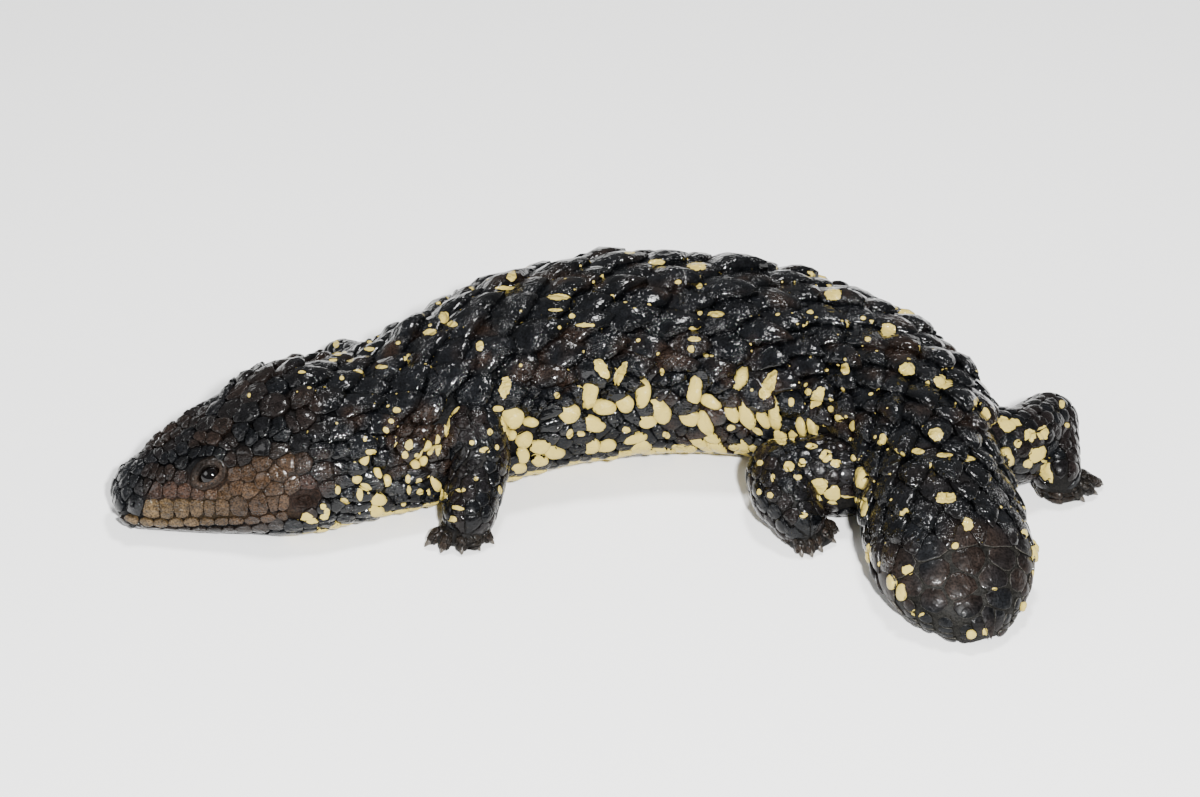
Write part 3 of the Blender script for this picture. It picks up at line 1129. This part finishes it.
def trunk_style(seeds, own, nasal, draw):
    """Shapes of the trunk's plates by their place, and how much each one is a raised scute of the back."""
    s, side = seeds[:, 0], np.abs(seeds[:, 1])
    on_head, on_tail = s < HEAD_END, s > TAIL_END
    back = 1 / (1 + np.exp((side - smooth_curve(BACK_EDGE, s) + 2) / 3.5)) * ~on_head
    back = np.where(on_tail, 0, back)
    crown = bump_between(side, -1, 40, 3) * on_head
    nape = bump_between(s, 0.040, HEAD_END, 0.003) * bump_between(side, -1, 58, 5)
    cheek = bump_between(s, 0.028, 0.054, 0.002) * bump_between(side, 47, 100, 3)
    tall = smooth_curve(SCUTE_HEIGHT, s)
    # Every other row of the back stands a little taller and reaches farther
    rows = row_places(0.0600, 0.3340, BACK_ROWS)
    even = np.where(np.abs(s[:, None] - rows).argmin(axis=1) % 2 == 0, 1, -1)
    crest = bump_between(side, -1, 62, 5) * bump_between(s, 0.070, 0.300, 0.006)
    side_lap = bump_between(s, 0.060, TAIL_END - 0.004, 0.002) * (1 - back) * ~own
    head_height = 0.0005 + 0.0009 * crown + 0.0014 * nape - 0.00022 * cheek
    height = np.where(on_head, head_height, 0.0012 * (1 - back) + tall * back)
    height = height * draw.uniform(0.78, 1.25, len(s))
    height *= 1 + 0.14 * even * crest
    height = np.where(on_tail, tall, height)
    height = np.where(own, 0.0016 + 0.7 * tall * back, height)
    height = np.where(side > 118, np.where(own, 0.0009, 0.0005), height)
    height = np.where(nasal, 0.0011, height)
    off_tail, scute = s < TAIL_END, back * ~own
    lap = 0.06 * off_tail + (0.76 + 0.30 * even * crest) * back * ~own + 0.20 * nape + 0.06 * own
    tail_ball = 0.0145 - 0.0100 * np.clip((side - 40) / 45, 0, 1)
    return {
        "height": height,
        "lap": lap + 0.38 * side_lap,
        "rise": 0.12 * off_tail + 0.74 * scute + 0.35 * nape + 0.15 * own + 0.40 * side_lap,
        "roof": 0.10 + 0.25 * back,
        "sink": np.where(on_tail, 0.0003, 0.0009 + 0.0004 * back),
        "lumps": 0.04 + 0.10 * crown,
        "ball": np.where(s > 0.3400, tail_ball, np.where(s < 0.0085, 0.0095, 0.0)),
    }, back


def lay_trunk():
    """Every scale of head, body and tail, from one set of seeds, so that neighbours share their seams."""
    draw = np.random.default_rng(11)
    seeds, owner, flecks, weight, lips = trunk_seeds(draw)
    s, side, own = seeds[:, 0], np.abs(seeds[:, 1]), owner >= 0
    at = tangents(trunk, np.stack([np.clip(s, 0.0008, LENGTH - 0.0008), seeds[:, 1]], -1), 0.0004)
    reach = plain_reach(seeds, at, weight, lips, own)
    pale_reach = cream_reach(seeds, at, weight, owner, draw)
    nasal = np.abs(s - NOSTRIL_S) < 1e-6
    style, back = trunk_style(seeds, own, nasal, draw)
    clear = off_tubes(at[0], LIMBS.values(), 0.0004) & ~((s > RIM_START) & (side > 128))
    clear &= off_oval(seeds, EYE_S, EYE_TURN, 0.0050, 0.0041)
    clear &= off_oval(seeds, EAR_S, EAR_TURN, 0.0062, 0.0045)
    on_head, raised = s < HEAD_END, (back > 0.5) & ~own
    body = ~on_head & (s < TAIL_END) & ~own
    drier = body & ~raised & (side > 84) & (s > 0.075)
    coats = [("head_scales", on_head & ~nasal, HEAD_RINGS), ("head_scales", nasal, NOSTRIL_RINGS)]
    for name, start, end in SCUTE_PIECES:
        scute = body & ~drier & (s >= start) & (s < end)
        coats.append((name, scute & raised, BIG_RINGS))
        coats.append((name, scute & ~raised, FLANK_RINGS))
    coats += [
        ("flank_scales", drier, FLANK_RINGS), ("cream_scales", own, CREAM_RINGS),
        ("tail_scales", (s >= TAIL_END) & ~own, TAIL_RINGS),
    ]
    for name, here, rings in coats:
        here = here & clear
        outline = pale_reach if rings is CREAM_RINGS else reach
        part = {key: np.broadcast_to(value, len(s))[here] for key, value in style.items()}
        colours = trunk_colours(own[here], flecks, lips[here])
        there = tuple(value[here] for value in at)
        lay(name, trunk, TRUNK_CHART, seeds[here], there, outline[here], part, colours, draw, rings)


def off_tubes(points, tubes, margin):
    """Whether points lie outside each of some tubes, or less deep in it than margin."""
    return ~np.any([in_tube(tube, points, margin) for tube in tubes], axis=0)


def off_oval(seeds, s, turn, half_s, half_turn):
    """Whether seeds lie outside an oval round a place of both sides, its halves in metres."""
    return oval_reach(seeds[:, 0], seeds[:, 1], s, turn, half_s, half_turn) > 1


def oval_reach(s, turn, at, side, half_s, half_turn):
    """Squared distance from a place of both sides, in shares of an oval's halves, which are in metres."""
    _, per_s, per_turn = frame_at(flesh, np.float64(at), np.float64(side))
    return ((s - at) * per_s / half_s) ** 2 + ((np.abs(turn) - side) * per_turn / half_turn) ** 2


def lay_on(piece, surface, rows, counts, chart, spacing, style, colours, draw, keep_if, dp):
    """Lays small scales on a limb's surface where keep_if, given their places, says so."""
    seeds = lattice(rows, counts, 0.13, draw)
    at = tangents(surface, seeds, dp)
    reach = cells(at[0], at[2], at[3], SMALL_CORNERS, 0.03 * spacing, 0.64 * spacing, np.ones(len(seeds)))
    keep = keep_if(at[0] + 0.0004 * at[1])
    # A plate that runs off a limb's round end would reach far from its seed
    rim = ((1.0, 0.0),)
    outline = plates(surface, seeds, at, reach, rim, {**PLAIN, **style}, np.random.default_rng(3))[0]
    keep &= np.linalg.norm(outline - at[0][:, None], axis=-1).max(axis=1) < 1.6 * spacing
    at = tuple(value[keep] for value in at)
    lay(piece, surface, chart, seeds[keep], at, reach[keep], style, colours, draw)


LEG_STYLE = {"height": 0.0006, "lap": 0.26, "rise": 0.5, "roof": 0.15, "lumps": 0.05}
FOOT_STYLE = {"height": 0.0004, "lap": 0.12, "rise": 0.5, "roof": 0.1, "sink": 0.0004, "lumps": 0.04}
TOE_STYLE = {"height": 0.00025, "lap": 0.06, "rise": 0.4, "sink": 0.0003, "lumps": 0.0}


def lay_limbs():
    """Scales of legs, feet and toes, left out where one limb runs into another or into the trunk."""
    draw = np.random.default_rng(23)
    colours, foot_colours = limb_colours(BLACK, 0.12), limb_colours(FOOT, 0.15)
    tubes = list(LIMBS.values())
    for number, tube in enumerate(tubes):
        rows = np.arange(-0.001, tube.length + 0.72 * tube.radii[-1], 0.0040) / tube.length
        wide = np.interp(rows, np.linspace(0, 1, len(tube.radii)), tube.radii)
        past = np.clip(rows - 1, 0, 1) * tube.length
        counts = np.round(2 * math.pi * np.sqrt(wide**2 - past**2) / 0.0052).astype(int)
        others = [other for other in tubes if other is not tube]

        def in_the_open(spots):
            """Whether places lie above the floor and outside the trunk and the other legs."""
            return ~in_trunk(spots, 0.0006) & (spots[:, 2] > 0.0006) & off_tubes(spots, others, 0.0006)

        chart = (0.03 + 0.12 * number, 0.63, 0.08, 0.16)
        lay_on("leg_scales", tube, rows, counts, chart, 0.0053, LEG_STYLE, colours, draw, in_the_open, 0.02)

    def outside(spots):
        """Whether places lie above the sole and not deep inside a leg."""
        return (spots[:, 2] > 0.0009) & off_tubes(spots, tubes, 0.0008)

    for number, palm in enumerate(PALMS.values()):
        rows = np.arange(-0.0005, palm.length + 0.0012, 0.0024) / palm.length
        chart = (0.03 + 0.12 * number, 0.82, 0.08, 0.07)
        lay_on("foot_scales", palm, rows, 13, chart, 0.0031, FOOT_STYLE, foot_colours, draw, outside, 0.03)
    for number, toe in enumerate(TOES.values()):
        rows = np.arange(0.10, 1.02, 0.0016 / toe.length)
        chart = (0.01 + 0.049 * number, 0.91, 0.04, 0.07)
        lay_on("foot_scales", toe, rows, 6, chart, 0.0022, TOE_STYLE, foot_colours, draw, outside, 0.05)


# Skin, lids, eyes and claws


def grid_faces(rows, columns, offset=0):
    """Quads of a grid of points whose columns close round."""
    i, j = np.arange(rows - 1)[:, None], np.arange(columns)[None, :]
    n, k = i + 1, (j + 1) % columns
    corners = [i * columns + j, n * columns + j, n * columns + k, i * columns + k]
    return (np.stack(corners, -1) + offset).reshape(-1, 4)


def closed_grid(surface, p_places, columns, out):
    """Points, quads and triangles of a closed shell: rings along p, and a single point at each end."""
    q = np.linspace(-180, 180, columns, endpoint=False)
    points = surface(p_places[:, None], q[None, :], out).reshape(-1, 3)
    rows = len(p_places)
    ends = np.array([points[:columns].mean(axis=0), points[-columns:].mean(axis=0)])
    k = np.arange(columns)
    after, last_row = (k + 1) % columns, (rows - 1) * columns
    first = np.stack([np.full(columns, rows * columns), k, after], -1)
    last = np.stack([np.full(columns, rows * columns + 1), last_row + after, last_row + k], -1)
    return np.concatenate([points, ends]), grid_faces(rows, columns), np.concatenate([first, last])


def hollow(s, turn, at, side, half_s, half_turn, depth):
    """Smooth dent of both sides: its depth times a bell with a flat floor over an oval."""
    reach = oval_reach(s, turn, at, side, half_s, half_turn)
    return -depth * np.clip(1.25 * (1 - reach**2), 0, 1)


SKIN_DEPTH = 0.0004
VOXEL = 0.00105
# The skin's mouth line: the way round per degree of turn, and the groove's half width
METRES_PER_DEGREE = 0.00035
MOUTH_GROOVE = 0.0006


def skin_shells():
    """Closed shells of trunk, legs, palms and toes, which run into one another."""
    s = np.concatenate([
        [0.0003, 0.001, 0.002, 0.0035], np.arange(0.005, LENGTH - 0.005, 0.0016),
        LENGTH - np.array([0.004, 0.0028, 0.0018, 0.0010, 0.0004]),
    ])
    shells = [closed_grid(trunk, s, 120, -SKIN_DEPTH)]
    ends = np.linspace(0, math.pi / 2, 5)[1:]
    for tube in LIMBS.values():
        first, last = tube.radii[0] * 0.98 * np.sin(ends), tube.radii[-1] * 0.98 * np.sin(ends)
        places = np.concatenate([-first[::-1], np.linspace(0, tube.length, 16), tube.length + last])
        shells.append(closed_grid(tube, places / tube.length, 28, -0.0002))
    for palm in PALMS.values():
        past = palm.length + np.array([0.0010, 0.0018])
        places = np.concatenate([[-0.0022, -0.0012], np.linspace(0, palm.length, 7), past])
        shells.append(closed_grid(palm, places / palm.length, 20, -0.0001))
    for toe in TOES.values():
        past = 1 + np.array([0.0007, 0.0011]) / toe.length
        shells.append(closed_grid(toe, np.concatenate([np.linspace(0, 1, 7), past]), 14, 0.0))
    return shells


def fused_skin(material):
    """One object of all shells, fused by a fine remesh and softened where they meet."""
    points, quads, triangles, start = [], [], [], 0
    for shell, four, three in skin_shells():
        points.append(shell)
        quads.append(four + start)
        triangles.append(three + start)
        start += len(shell)
    faces = (np.concatenate(quads), np.concatenate(triangles))
    skin = mesh_piece("skin", np.concatenate(points), faces, material)
    fuse = skin.modifiers.new("fuse", "REMESH")
    fuse.mode = "VOXEL"
    fuse.voxel_size = VOXEL
    soften = skin.modifiers.new("soften", "SMOOTH")
    soften.factor = 0.5
    soften.iterations = 4
    fused = bpy.data.meshes.new_from_object(skin.evaluated_get(bpy.context.evaluated_depsgraph_get()))
    skin.modifiers.clear()
    shells = skin.data
    skin.data = fused
    bpy.data.meshes.remove(shells)
    fused.materials.clear()
    fused.materials.append(material)
    return skin


def opening_depth(s, turn, mouth):
    """How far the skin is pressed in at eye sockets, ear cups and the mouth line, below 0 where it is."""
    press = np.zeros(len(s))
    press += hollow(s, turn, EYE_S, EYE_TURN, EYE_OPENING[0] * 1.15, EYE_OPENING[1] * 1.2, 0.0046)
    press += hollow(s, turn, EAR_S, EAR_TURN, *EAR_HALF, 0.0018)
    press += hollow(s, turn, EAR_S, EAR_TURN + 2.0, 0.0026, 0.0014, 0.0028)
    press -= 0.0012 * np.exp(-mouth**2) * bump_between(s, -1, MOUTH_END, 0.001)
    return press


def skin_ground(points, s, turn, mouth, on_trunk, on_head):
    """Skin's ground colours: the scales' own but darker, with dark ears, mouth and legs and a grey tail."""
    ground = trunk_ground(s, turn, points) * 0.35
    ground[s > TAIL_END] = 0.12 * SEAM_GREY
    ground[~on_trunk] = LEG_SKIN
    off_ear = off_oval(np.stack([s, turn], -1), EAR_S, EAR_TURN, *EAR_HALF)
    ground[on_head & ~off_ear] = EAR_DARK
    ground[on_head & (np.abs(mouth) < 1.2) & (s < MOUTH_END)] = MOUTH_DARK
    return ground


def skin_marks(points, s, turn, on_trunk):
    """Offsets that make the belly's skin cream inside the photograph's marks and their mirror images."""
    looks = points.copy()
    far = on_trunk & (turn < FAR_SIDE)
    looks[far] = trunk(*mirrored(s[far], turn[far]))
    cream = np.where(on_trunk & (np.abs(turn) > 104), np.clip(cream_at(looks), -4, 1) * 0.6, -4.0)
    return np.stack([np.sqrt(1 - cream), 0 * cream, 0 * cream], -1)


def build_skin(material):
    """One skin over trunk, legs and feet, pressed in along the trunk's normal at the head's openings."""
    skin = fused_skin(material)
    fused = skin.data
    points = np.empty(len(fused.vertices) * 3, np.float32)
    fused.vertices.foreach_get("co", points)
    points = points.reshape(-1, 3).astype(float) - SHIFT
    s, turn, ratio, _ = section_of(points)
    on_head, on_trunk = (s < 0.065) & (ratio < 1.15), ratio < 1.08
    mouth = (np.abs(turn) - smooth_curve(MOUTH, s)) * METRES_PER_DEGREE / MOUTH_GROOVE
    normal = frame_at(flesh, np.clip(s, 0.001, LENGTH - 0.001), turn)[0]
    points[on_head] += (normal * opening_depth(s, turn, mouth)[:, None])[on_head]
    points[:, 2] = np.maximum(points[:, 2], 0.0)
    fused.vertices.foreach_set("co", (points + SHIFT).astype(np.float32).ravel())
    fused.polygons.foreach_set("use_smooth", np.ones(len(fused.polygons), bool))
    fused.update()
    offsets = skin_marks(points, s, turn, on_trunk)
    dress(skin, skin_ground(points, s, turn, mouth, on_trunk, on_head), (offsets, offsets), points)
    nodes = [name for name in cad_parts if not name.startswith(("eye_", "claw_"))]
    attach(skin, "root")
    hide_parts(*nodes)


# Rings of the lids: share of the way from the opening to the outer oval, height over ball and over skin
LID_RINGS = (
    (-0.16, -0.0008, 0), (-0.05, -0.0002, 0), (0.0, 0.0002, 0.0001), (0.06, 0.0005, 0.0004),
    (0.14, 0.0006, 0.0006), (0.24, 0.0005, 0.0007), (0.36, 0.0003, 0.0006), (0.50, 0.0004, 0.0006),
    (0.64, 0.0004, 0.0007), (0.78, 0.0002, 0.0006), (0.90, 0, 0.0004), (1.0, -0.0003, 0.0002),
    (1.1, -0.0012, -0.0006),
)


def build_lids(side, material):
    """Lids round an eye: a ring that starts under the ball's edge, lies on the ball, rolls up and runs out.

    The inner oval is drawn in to its corners like an almond. The height is the greater of the ball's own
    and a low swell's, with small beads round the rim.
    """
    angle = np.linspace(0, 2 * math.pi, 60, endpoint=False)
    share, lift, swell = np.array(LID_RINGS).T[..., None]
    almond = 1 - 0.22 * (1 - np.clip(share, 0, 1)) * np.cos(angle) ** 2
    a = (EYE_OPENING[0] + (LID_OUTER[0] - EYE_OPENING[0]) * share) * np.cos(angle)
    b = (EYE_OPENING[1] + (LID_OUTER[1] - EYE_OPENING[1]) * share) * np.sin(angle) * almond
    ball = np.sqrt(np.clip(EYE_RADIUS**2 - a * a - (b + EYE_TILT * a) ** 2, 0, 1)) - EYE_DEPTH
    out = np.maximum(ball + lift, swell)
    out[:2] = (ball + lift)[:2]
    beads = 0.00020 * np.cos(19 * angle) * np.sin(math.pi * np.clip(share * 1.6, 0, 1))
    creases = 0.00010 * np.cos(13 * angle + 9 * share) * np.sin(math.pi * np.clip(share, 0, 1))
    _, per_s, per_turn = frame_at(flesh, np.float64(EYE_S), np.float64(EYE_TURN))
    turn = side * (EYE_TURN - (b + EYE_TILT * a) / per_turn)
    points = trunk(EYE_S + a / per_s, turn, out + beads + creases).reshape(-1, 3)
    faces = grid_faces(*a.shape)
    name = "lids_left" if side > 0 else "lids_right"
    piece = mesh_piece(name, points, [faces if side < 0 else faces[:, ::-1]], material)
    pale = np.interp(share, (0, 0.06, 0.35, 0.7, 1), (0.2, 1.0, 0.8, 0.25, 0.5))
    tone = pale * (0.52 - 0.42 * np.sin(angle))
    colour = blend(np.broadcast_to(LID_DARK, points.shape), LID_BROWN, tone.ravel())
    far_off = np.full(points.shape, 9.0)
    dress(piece, colour, (far_off, far_off), points)
    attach(piece, "root")


def build_eye(side, material):
    """Eyeball: a sphere whose points store how far they are from the pupil, as an angle over a right one."""
    centre = trunk(EYE_S, side * EYE_TURN, -EYE_DEPTH)
    axis = frame_at(flesh, np.float64(EYE_S), np.float64(side * EYE_TURN))[0]
    level = np.cross(axis, (0, 0, 1.0))
    level /= np.linalg.norm(level)
    upright = np.cross(level, axis)
    rings, sides = 28, 40
    away = np.linspace(0.02, math.pi - 0.02, rings)[:, None]
    round_it = np.linspace(0, 2 * math.pi, sides, endpoint=False)[None, :]
    points = centre + EYE_RADIUS * (
        np.cos(away)[..., None] * axis + (np.sin(away) * np.cos(round_it))[..., None] * level
        + (np.sin(away) * np.sin(round_it))[..., None] * upright
    )
    name = "eyeball_left" if side > 0 else "eyeball_right"
    piece = mesh_piece(name, points.reshape(-1, 3), [grid_faces(rings, sides)], material)
    give(piece, "off_axis", "FLOAT", np.broadcast_to(away / (math.pi / 2), (rings, sides)))
    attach(piece, "root")
    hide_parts("eye_left" if side > 0 else "eye_right")


CLAW_LENGTH = 0.0032
CLAW_RADIUS = 0.0014


def build_claws(foot, toes, material):
    """A foot's claws: cones bent down along a curve, their section an upright oval that ends in a point."""
    points, faces = [], []
    steps, sides = 9, 10
    share = np.linspace(0, 1, steps)[:, None]
    angle = np.linspace(0, 2 * math.pi, sides, endpoint=False)[None, :]
    for number, toe in enumerate(toes):
        line = toe_line(*toe)
        ahead = line[-1] - line[-2]
        ahead[2] = 0
        ahead /= np.linalg.norm(ahead)
        across = np.array([ahead[1], -ahead[0], 0])
        reach = (share * CLAW_LENGTH - 0.0010)[..., None]
        centre = line[-1] + reach * ahead
        height = line[-1, 2] + 0.0004 * np.sin(math.pi * share * 0.9) - (line[-1, 2] - 0.0004) * share**2.2
        centre = np.broadcast_to(centre, (steps, sides, 3)).copy()
        centre[..., 2] = height
        radius = CLAW_RADIUS * (1 - share) ** 0.5 + 0.00005
        shape = centre + (0.85 * radius * np.cos(angle))[..., None] * across
        shape[..., 2] += radius * np.sin(angle)
        points.append(shape.reshape(-1, 3))
        faces.append(grid_faces(steps, sides, number * steps * sides))
    points = np.concatenate(points)
    points[:, 2] = np.maximum(points[:, 2], 0.0001)
    piece = mesh_piece(f"claws_{foot}", points, [np.concatenate(faces)[:, ::-1]], material)
    give(piece, "along", "FLOAT", np.tile(np.repeat(share.ravel(), sides), len(toes)))
    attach(piece, "root")
    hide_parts(*[f"claw_{foot}_{k + 1}" for k in range(len(toes))])


# Materials


def feed(tree, made, **links):
    """Links or sets a node's inputs by name; an i with a number is the input in that place."""
    for key, value in links.items():
        by_place = key[0] == "i" and key[1:].isdigit()
        socket = made.inputs[int(key[1:]) if by_place else key.replace("_", " ")]
        if isinstance(value, bpy.types.NodeSocket):
            tree.links.new(value, socket)
        else:
            socket.default_value = value


def node(tree, kind, settings=None, **links):
    """Adds a node with its settings and inputs."""
    made = tree.nodes.new("ShaderNode" + kind)
    for key, value in (settings or {}).items():
        setattr(made, key, value)
    feed(tree, made, **links)
    return made


def attribute(tree, name, output="Fac"):
    """What a mesh's attribute holds."""
    return node(tree, "Attribute", {"attribute_name": name}).outputs[output]


def noise(tree, scale, detail, kind="FBM", **more):
    """Cloudy noise from 0 to 1, with about scale clouds a metre."""
    return node(tree, "TexNoise", {"noise_type": kind}, Scale=scale, Detail=detail, **more).outputs["Fac"]


def maths(tree, operation, *values):
    """Result of one operation on values or outputs."""
    places = {f"i{place}": value for place, value in enumerate(values)}
    return node(tree, "Math", {"operation": operation}, **places).outputs[0]


def vector(tree, operation, value, output=0, **more):
    """Result of one operation on a vector."""
    return node(tree, "VectorMath", {"operation": operation}, i0=value, **more).outputs[output]


def remap(tree, value, low, high, to_low=0.0, to_high=1.0):
    """A value with one range stretched over another, and held at its ends."""
    ends = {"From_Min": low, "From_Max": high, "To_Min": to_low, "To_Max": to_high}
    return node(tree, "MapRange", Value=value, **ends).outputs[0]


def mix(tree, share, first, second):
    """Mix of two colours by a share, each a hex value or an output."""
    a, b = [(*srgb(colour), 1.0) if isinstance(colour, str) else colour for colour in (first, second)]
    return node(tree, "Mix", {"data_type": "RGBA"}, Factor=share, i6=a, i7=b).outputs[2]


def new_material(name):
    """An empty node material and its tree and shader."""
    made = bpy.data.materials.new(name)
    made.use_nodes = True
    return made, made.node_tree, made.node_tree.nodes["Principled BSDF"]


# Noise scales: clouds of 3 mm, pepper of 0.5 mm, fraying of 1.7 mm, specks' mesh and arcs of 4 mm, ridges of
# about 1 mm, lumps of 1.4 mm, and patches of about 5 mm where the relief is full
CLOUDS, PEPPER, FRAY, SPECKS, RIDGES, LUMPS, PATCHES = 330.0, 1900.0, 600.0, 250.0, 900.0, 720.0, 190.0


def cream_cover(tree, place, sprinkled):
    """Share of cream: a mark is an oval where its offset's length, shaken by noise, is less than one.

    The nearer of two marks counts. A sprinkled horn has specks up to 1 mm across in some cells of a mesh as
    well, and arcs where a cloud meets a rear rim.
    """
    shake = maths(tree, "MULTIPLY_ADD", noise(tree, FRAY, 2.0, Vector=place), -1.0, 1.50)
    off = [vector(tree, "LENGTH", attribute(tree, name, "Vector"), "Value") for name in MARK_NAMES]
    inside = maths(tree, "SUBTRACT", shake, maths(tree, "MINIMUM", *off))
    if sprinkled:
        cell = node(tree, "TexVoronoi", Vector=place, Scale=SPECKS)
        size = maths(tree, "MULTIPLY_ADD", cell.outputs["Color"], 0.50, -0.27)
        speck = maths(tree, "SUBTRACT", size, cell.outputs["Distance"])
        arc = maths(tree, "MULTIPLY_ADD", attribute(tree, "rim"), 0.45, -1.09)
        arc = maths(tree, "ADD", arc, noise(tree, SPECKS, 3.0, Vector=place))
        inside = maths(tree, "MAXIMUM", maths(tree, "MAXIMUM", inside, speck), arc)
    return remap(tree, inside, -0.01, 0.01)


def horn_relief(tree, place):
    """Height of horn's relief: ridges down each scale, four times as long as wide, over lumps.

    It is full in patches and about a seventh of that between them, so that highlights cluster.
    """
    stretched = vector(tree, "MULTIPLY", attribute(tree, "lie", "Vector"), i1=(0.25, 1.0, 1.0))
    shape = {"Roughness": 0.5, "Offset": 0.9, "Gain": 2.0}
    ridges = noise(tree, RIDGES, 3.0, "RIDGED_MULTIFRACTAL", Vector=stretched, **shape)
    lumps = noise(tree, LUMPS, 1.0, Vector=place)
    relief = maths(tree, "MULTIPLY_ADD", lumps, 1.9, maths(tree, "MULTIPLY", ridges, 0.45))
    patches = remap(tree, noise(tree, PATCHES, 2.0, Vector=place), 0.48, 0.62, 0.16, 1.1)
    return maths(tree, "MULTIPLY", relief, patches)


def keratin(name, wet, grain, rough, sprinkled=False):
    """Horn-covered hide: clouded and peppered ground colour with cream marks, under a relief of ridges.

    wet is the clear, wet-looking layer's weight, grain the height of the ridges in metres, and rough the
    horn's own roughness, which clouds shift up and down. A sprinkled horn has cream specks and cream arcs
    on the rear rims of its scales as well.
    """
    made, tree, shader = new_material(name)
    place = node(tree, "TexCoord").outputs["Object"]
    cloud = noise(tree, CLOUDS, 4.0, Vector=place, Roughness=0.6)
    pepper = noise(tree, PEPPER, 2.0, Vector=place)
    light, dots = remap(tree, cloud, 0.3, 0.7, 0.55, 1.5), remap(tree, pepper, 0.38, 0.60, 0.42, 1.45)
    ground = attribute(tree, "ground", "Color")
    dark = vector(tree, "SCALE", ground, Scale=maths(tree, "MULTIPLY", light, dots))
    pale = mix(tree, cloud, "#9c8a42", "#b7a458")
    bump = node(tree, "Bump", Height=horn_relief(tree, place), Strength=1.0, Distance=grain).outputs[0]
    feed(
        tree, shader, Base_Color=mix(tree, cream_cover(tree, place, sprinkled), dark, pale), Normal=bump,
        Coat_Normal=bump, Roughness=remap(tree, cloud, 0.3, 0.7, rough - 0.07, rough + 0.10), IOR=1.50,
        Specular_IOR_Level=0.08, Coat_Weight=wet, Coat_Roughness=0.05, Coat_IOR=1.33,
    )
    return made


def wet_eye():
    """Dark brown eye under a wet cornea: a black pupil with a barely lighter brown iris round it."""
    made, tree, shader = new_material("wet_dark_eye")
    off_pupil = remap(tree, attribute(tree, "off_axis"), 0.30, 0.42)
    iris = mix(tree, noise(tree, 1800.0, 2.0), "#050302", "#090604")
    feed(tree, shader, Base_Color=mix(tree, off_pupil, "#050404", iris), Roughness=0.04, IOR=1.38)
    return made


def claw_horn():
    """Grey horn that darkens to its root, with fine lengthwise lines."""
    made, tree, shader = new_material("claw_horn")
    lines = noise(tree, 2200.0, 2.0)
    fade = maths(tree, "MULTIPLY_ADD", lines, 0.4, attribute(tree, "along"))
    bump = node(tree, "Bump", Height=lines, Strength=0.3, Distance=0.0001).outputs[0]
    feed(tree, shader, Base_Color=mix(tree, fade, "#131110", "#3b352e"), Normal=bump, Roughness=0.3, IOR=1.54)
    return made


# Floor, light and camera


# Lamps: place, width and power
LAMPS = {
    "overhead": ((0.10, 0.25, 1.10), 0.18, 12.8),
    "key": ((0.16, -0.95, 0.78), 0.07, 46.5),
    "fill": ((-0.80, -0.40, 0.55), 0.45, 3.6),
}
LAMP_TARGET = (0, 0, 0.02)
WORLD_STRENGTH = 0.26


def build_stage():
    """Pale floor, a soft light overhead, a smaller key light above the camera and a fill from the left."""
    made, tree, shader = new_material("pale_floor")
    feed(tree, shader, Base_Color=(*srgb("#f8f8f7"), 1.0), Roughness=0.9)
    floor = bpy.data.meshes.new("floor")
    floor.from_pydata([(-3, -3, 0), (3, -3, 0), (3, 3, 0), (-3, 3, 0)], [], [(0, 1, 2, 3)])
    ground = bpy.data.objects.new("floor", floor)
    ground.location = (0, 0, -0.0002)
    bpy.context.scene.collection.objects.link(ground)
    floor.materials.append(made)
    world = bpy.data.worlds.new("studio")
    world.use_nodes = True
    sky = world.node_tree.nodes["Background"]
    feed(world.node_tree, sky, Color=(1, 1, 1, 1), Strength=WORLD_STRENGTH)
    bpy.context.scene.world = world
    for name, (place, size, power) in LAMPS.items():
        lamp = bpy.data.lights.new(name, "AREA")
        lamp.size = size
        lamp.energy = power
        holder = bpy.data.objects.new(name, lamp)
        holder.location = place
        x, y, z = np.array(LAMP_TARGET) - np.array(place)
        holder.rotation_euler = (math.atan2(math.hypot(x, y), -z), 0, math.atan2(y, x) - math.pi / 2)
        bpy.context.scene.collection.objects.link(holder)


def build_camera():
    """Camera at the photograph's view: its place, rise and lens."""
    lens = bpy.data.cameras.new("camera")
    lens.sensor_width = SENSOR
    lens.lens = FOCAL_PIXELS * SENSOR / PHOTO_WIDTH
    lens.clip_start = 0.01
    holder = bpy.data.objects.new("camera", lens)
    holder.location = VIEW_PLACE
    holder.rotation_euler = (math.pi / 2 - RISE, 0, 0)
    bpy.context.scene.collection.objects.link(holder)
    bpy.context.scene.camera = holder


# Horn of each coat piece: its name, wetness, grain, roughness, and whether it is sprinkled
SCUTE_HORN = ("wet_black_horn", 0.70, 0.00050, 0.20, True)
HORNS = {
    "head_scales": ("head_shield_horn", 0.42, 0.00034, 0.24),
    "leg_scales": ("smooth_leg_horn", 0.35, 0.00026, 0.26),
    "foot_scales": ("fine_scale_horn", 0.20, 0.00016, 0.34),
    "tail_scales": ("satin_tail_horn", 0.15, 0.00014, 0.40),
    "flank_scales": ("drier_flank_horn", 0.22, 0.00034, 0.30, True),
    "cream_scales": ("smooth_cream_horn", 0.25, 0.00022, 0.30),
}


def build_coat():
    """Every coat piece, with its horn."""
    scute_horn = keratin(*SCUTE_HORN)
    for name in sorted(COAT):
        horn = keratin(*HORNS[name]) if name in HORNS else scute_horn
        finish_coat(name, horn)


build_camera()
build_stage()
build_skin(keratin("dark_skin_between_scales", 0.0, 0.00020, 0.55))
lay_trunk()
lay_limbs()
build_coat()
eye_material, claw_material, lid_hide = wet_eye(), claw_horn(), keratin("lid_hide", 0.10, 0.00012, 0.40)
for side in (1, -1):
    build_lids(side, lid_hide)
    build_eye(side, eye_material)
for foot, (_, _, toes) in FEET.items():
    build_claws(foot, toes, claw_material)
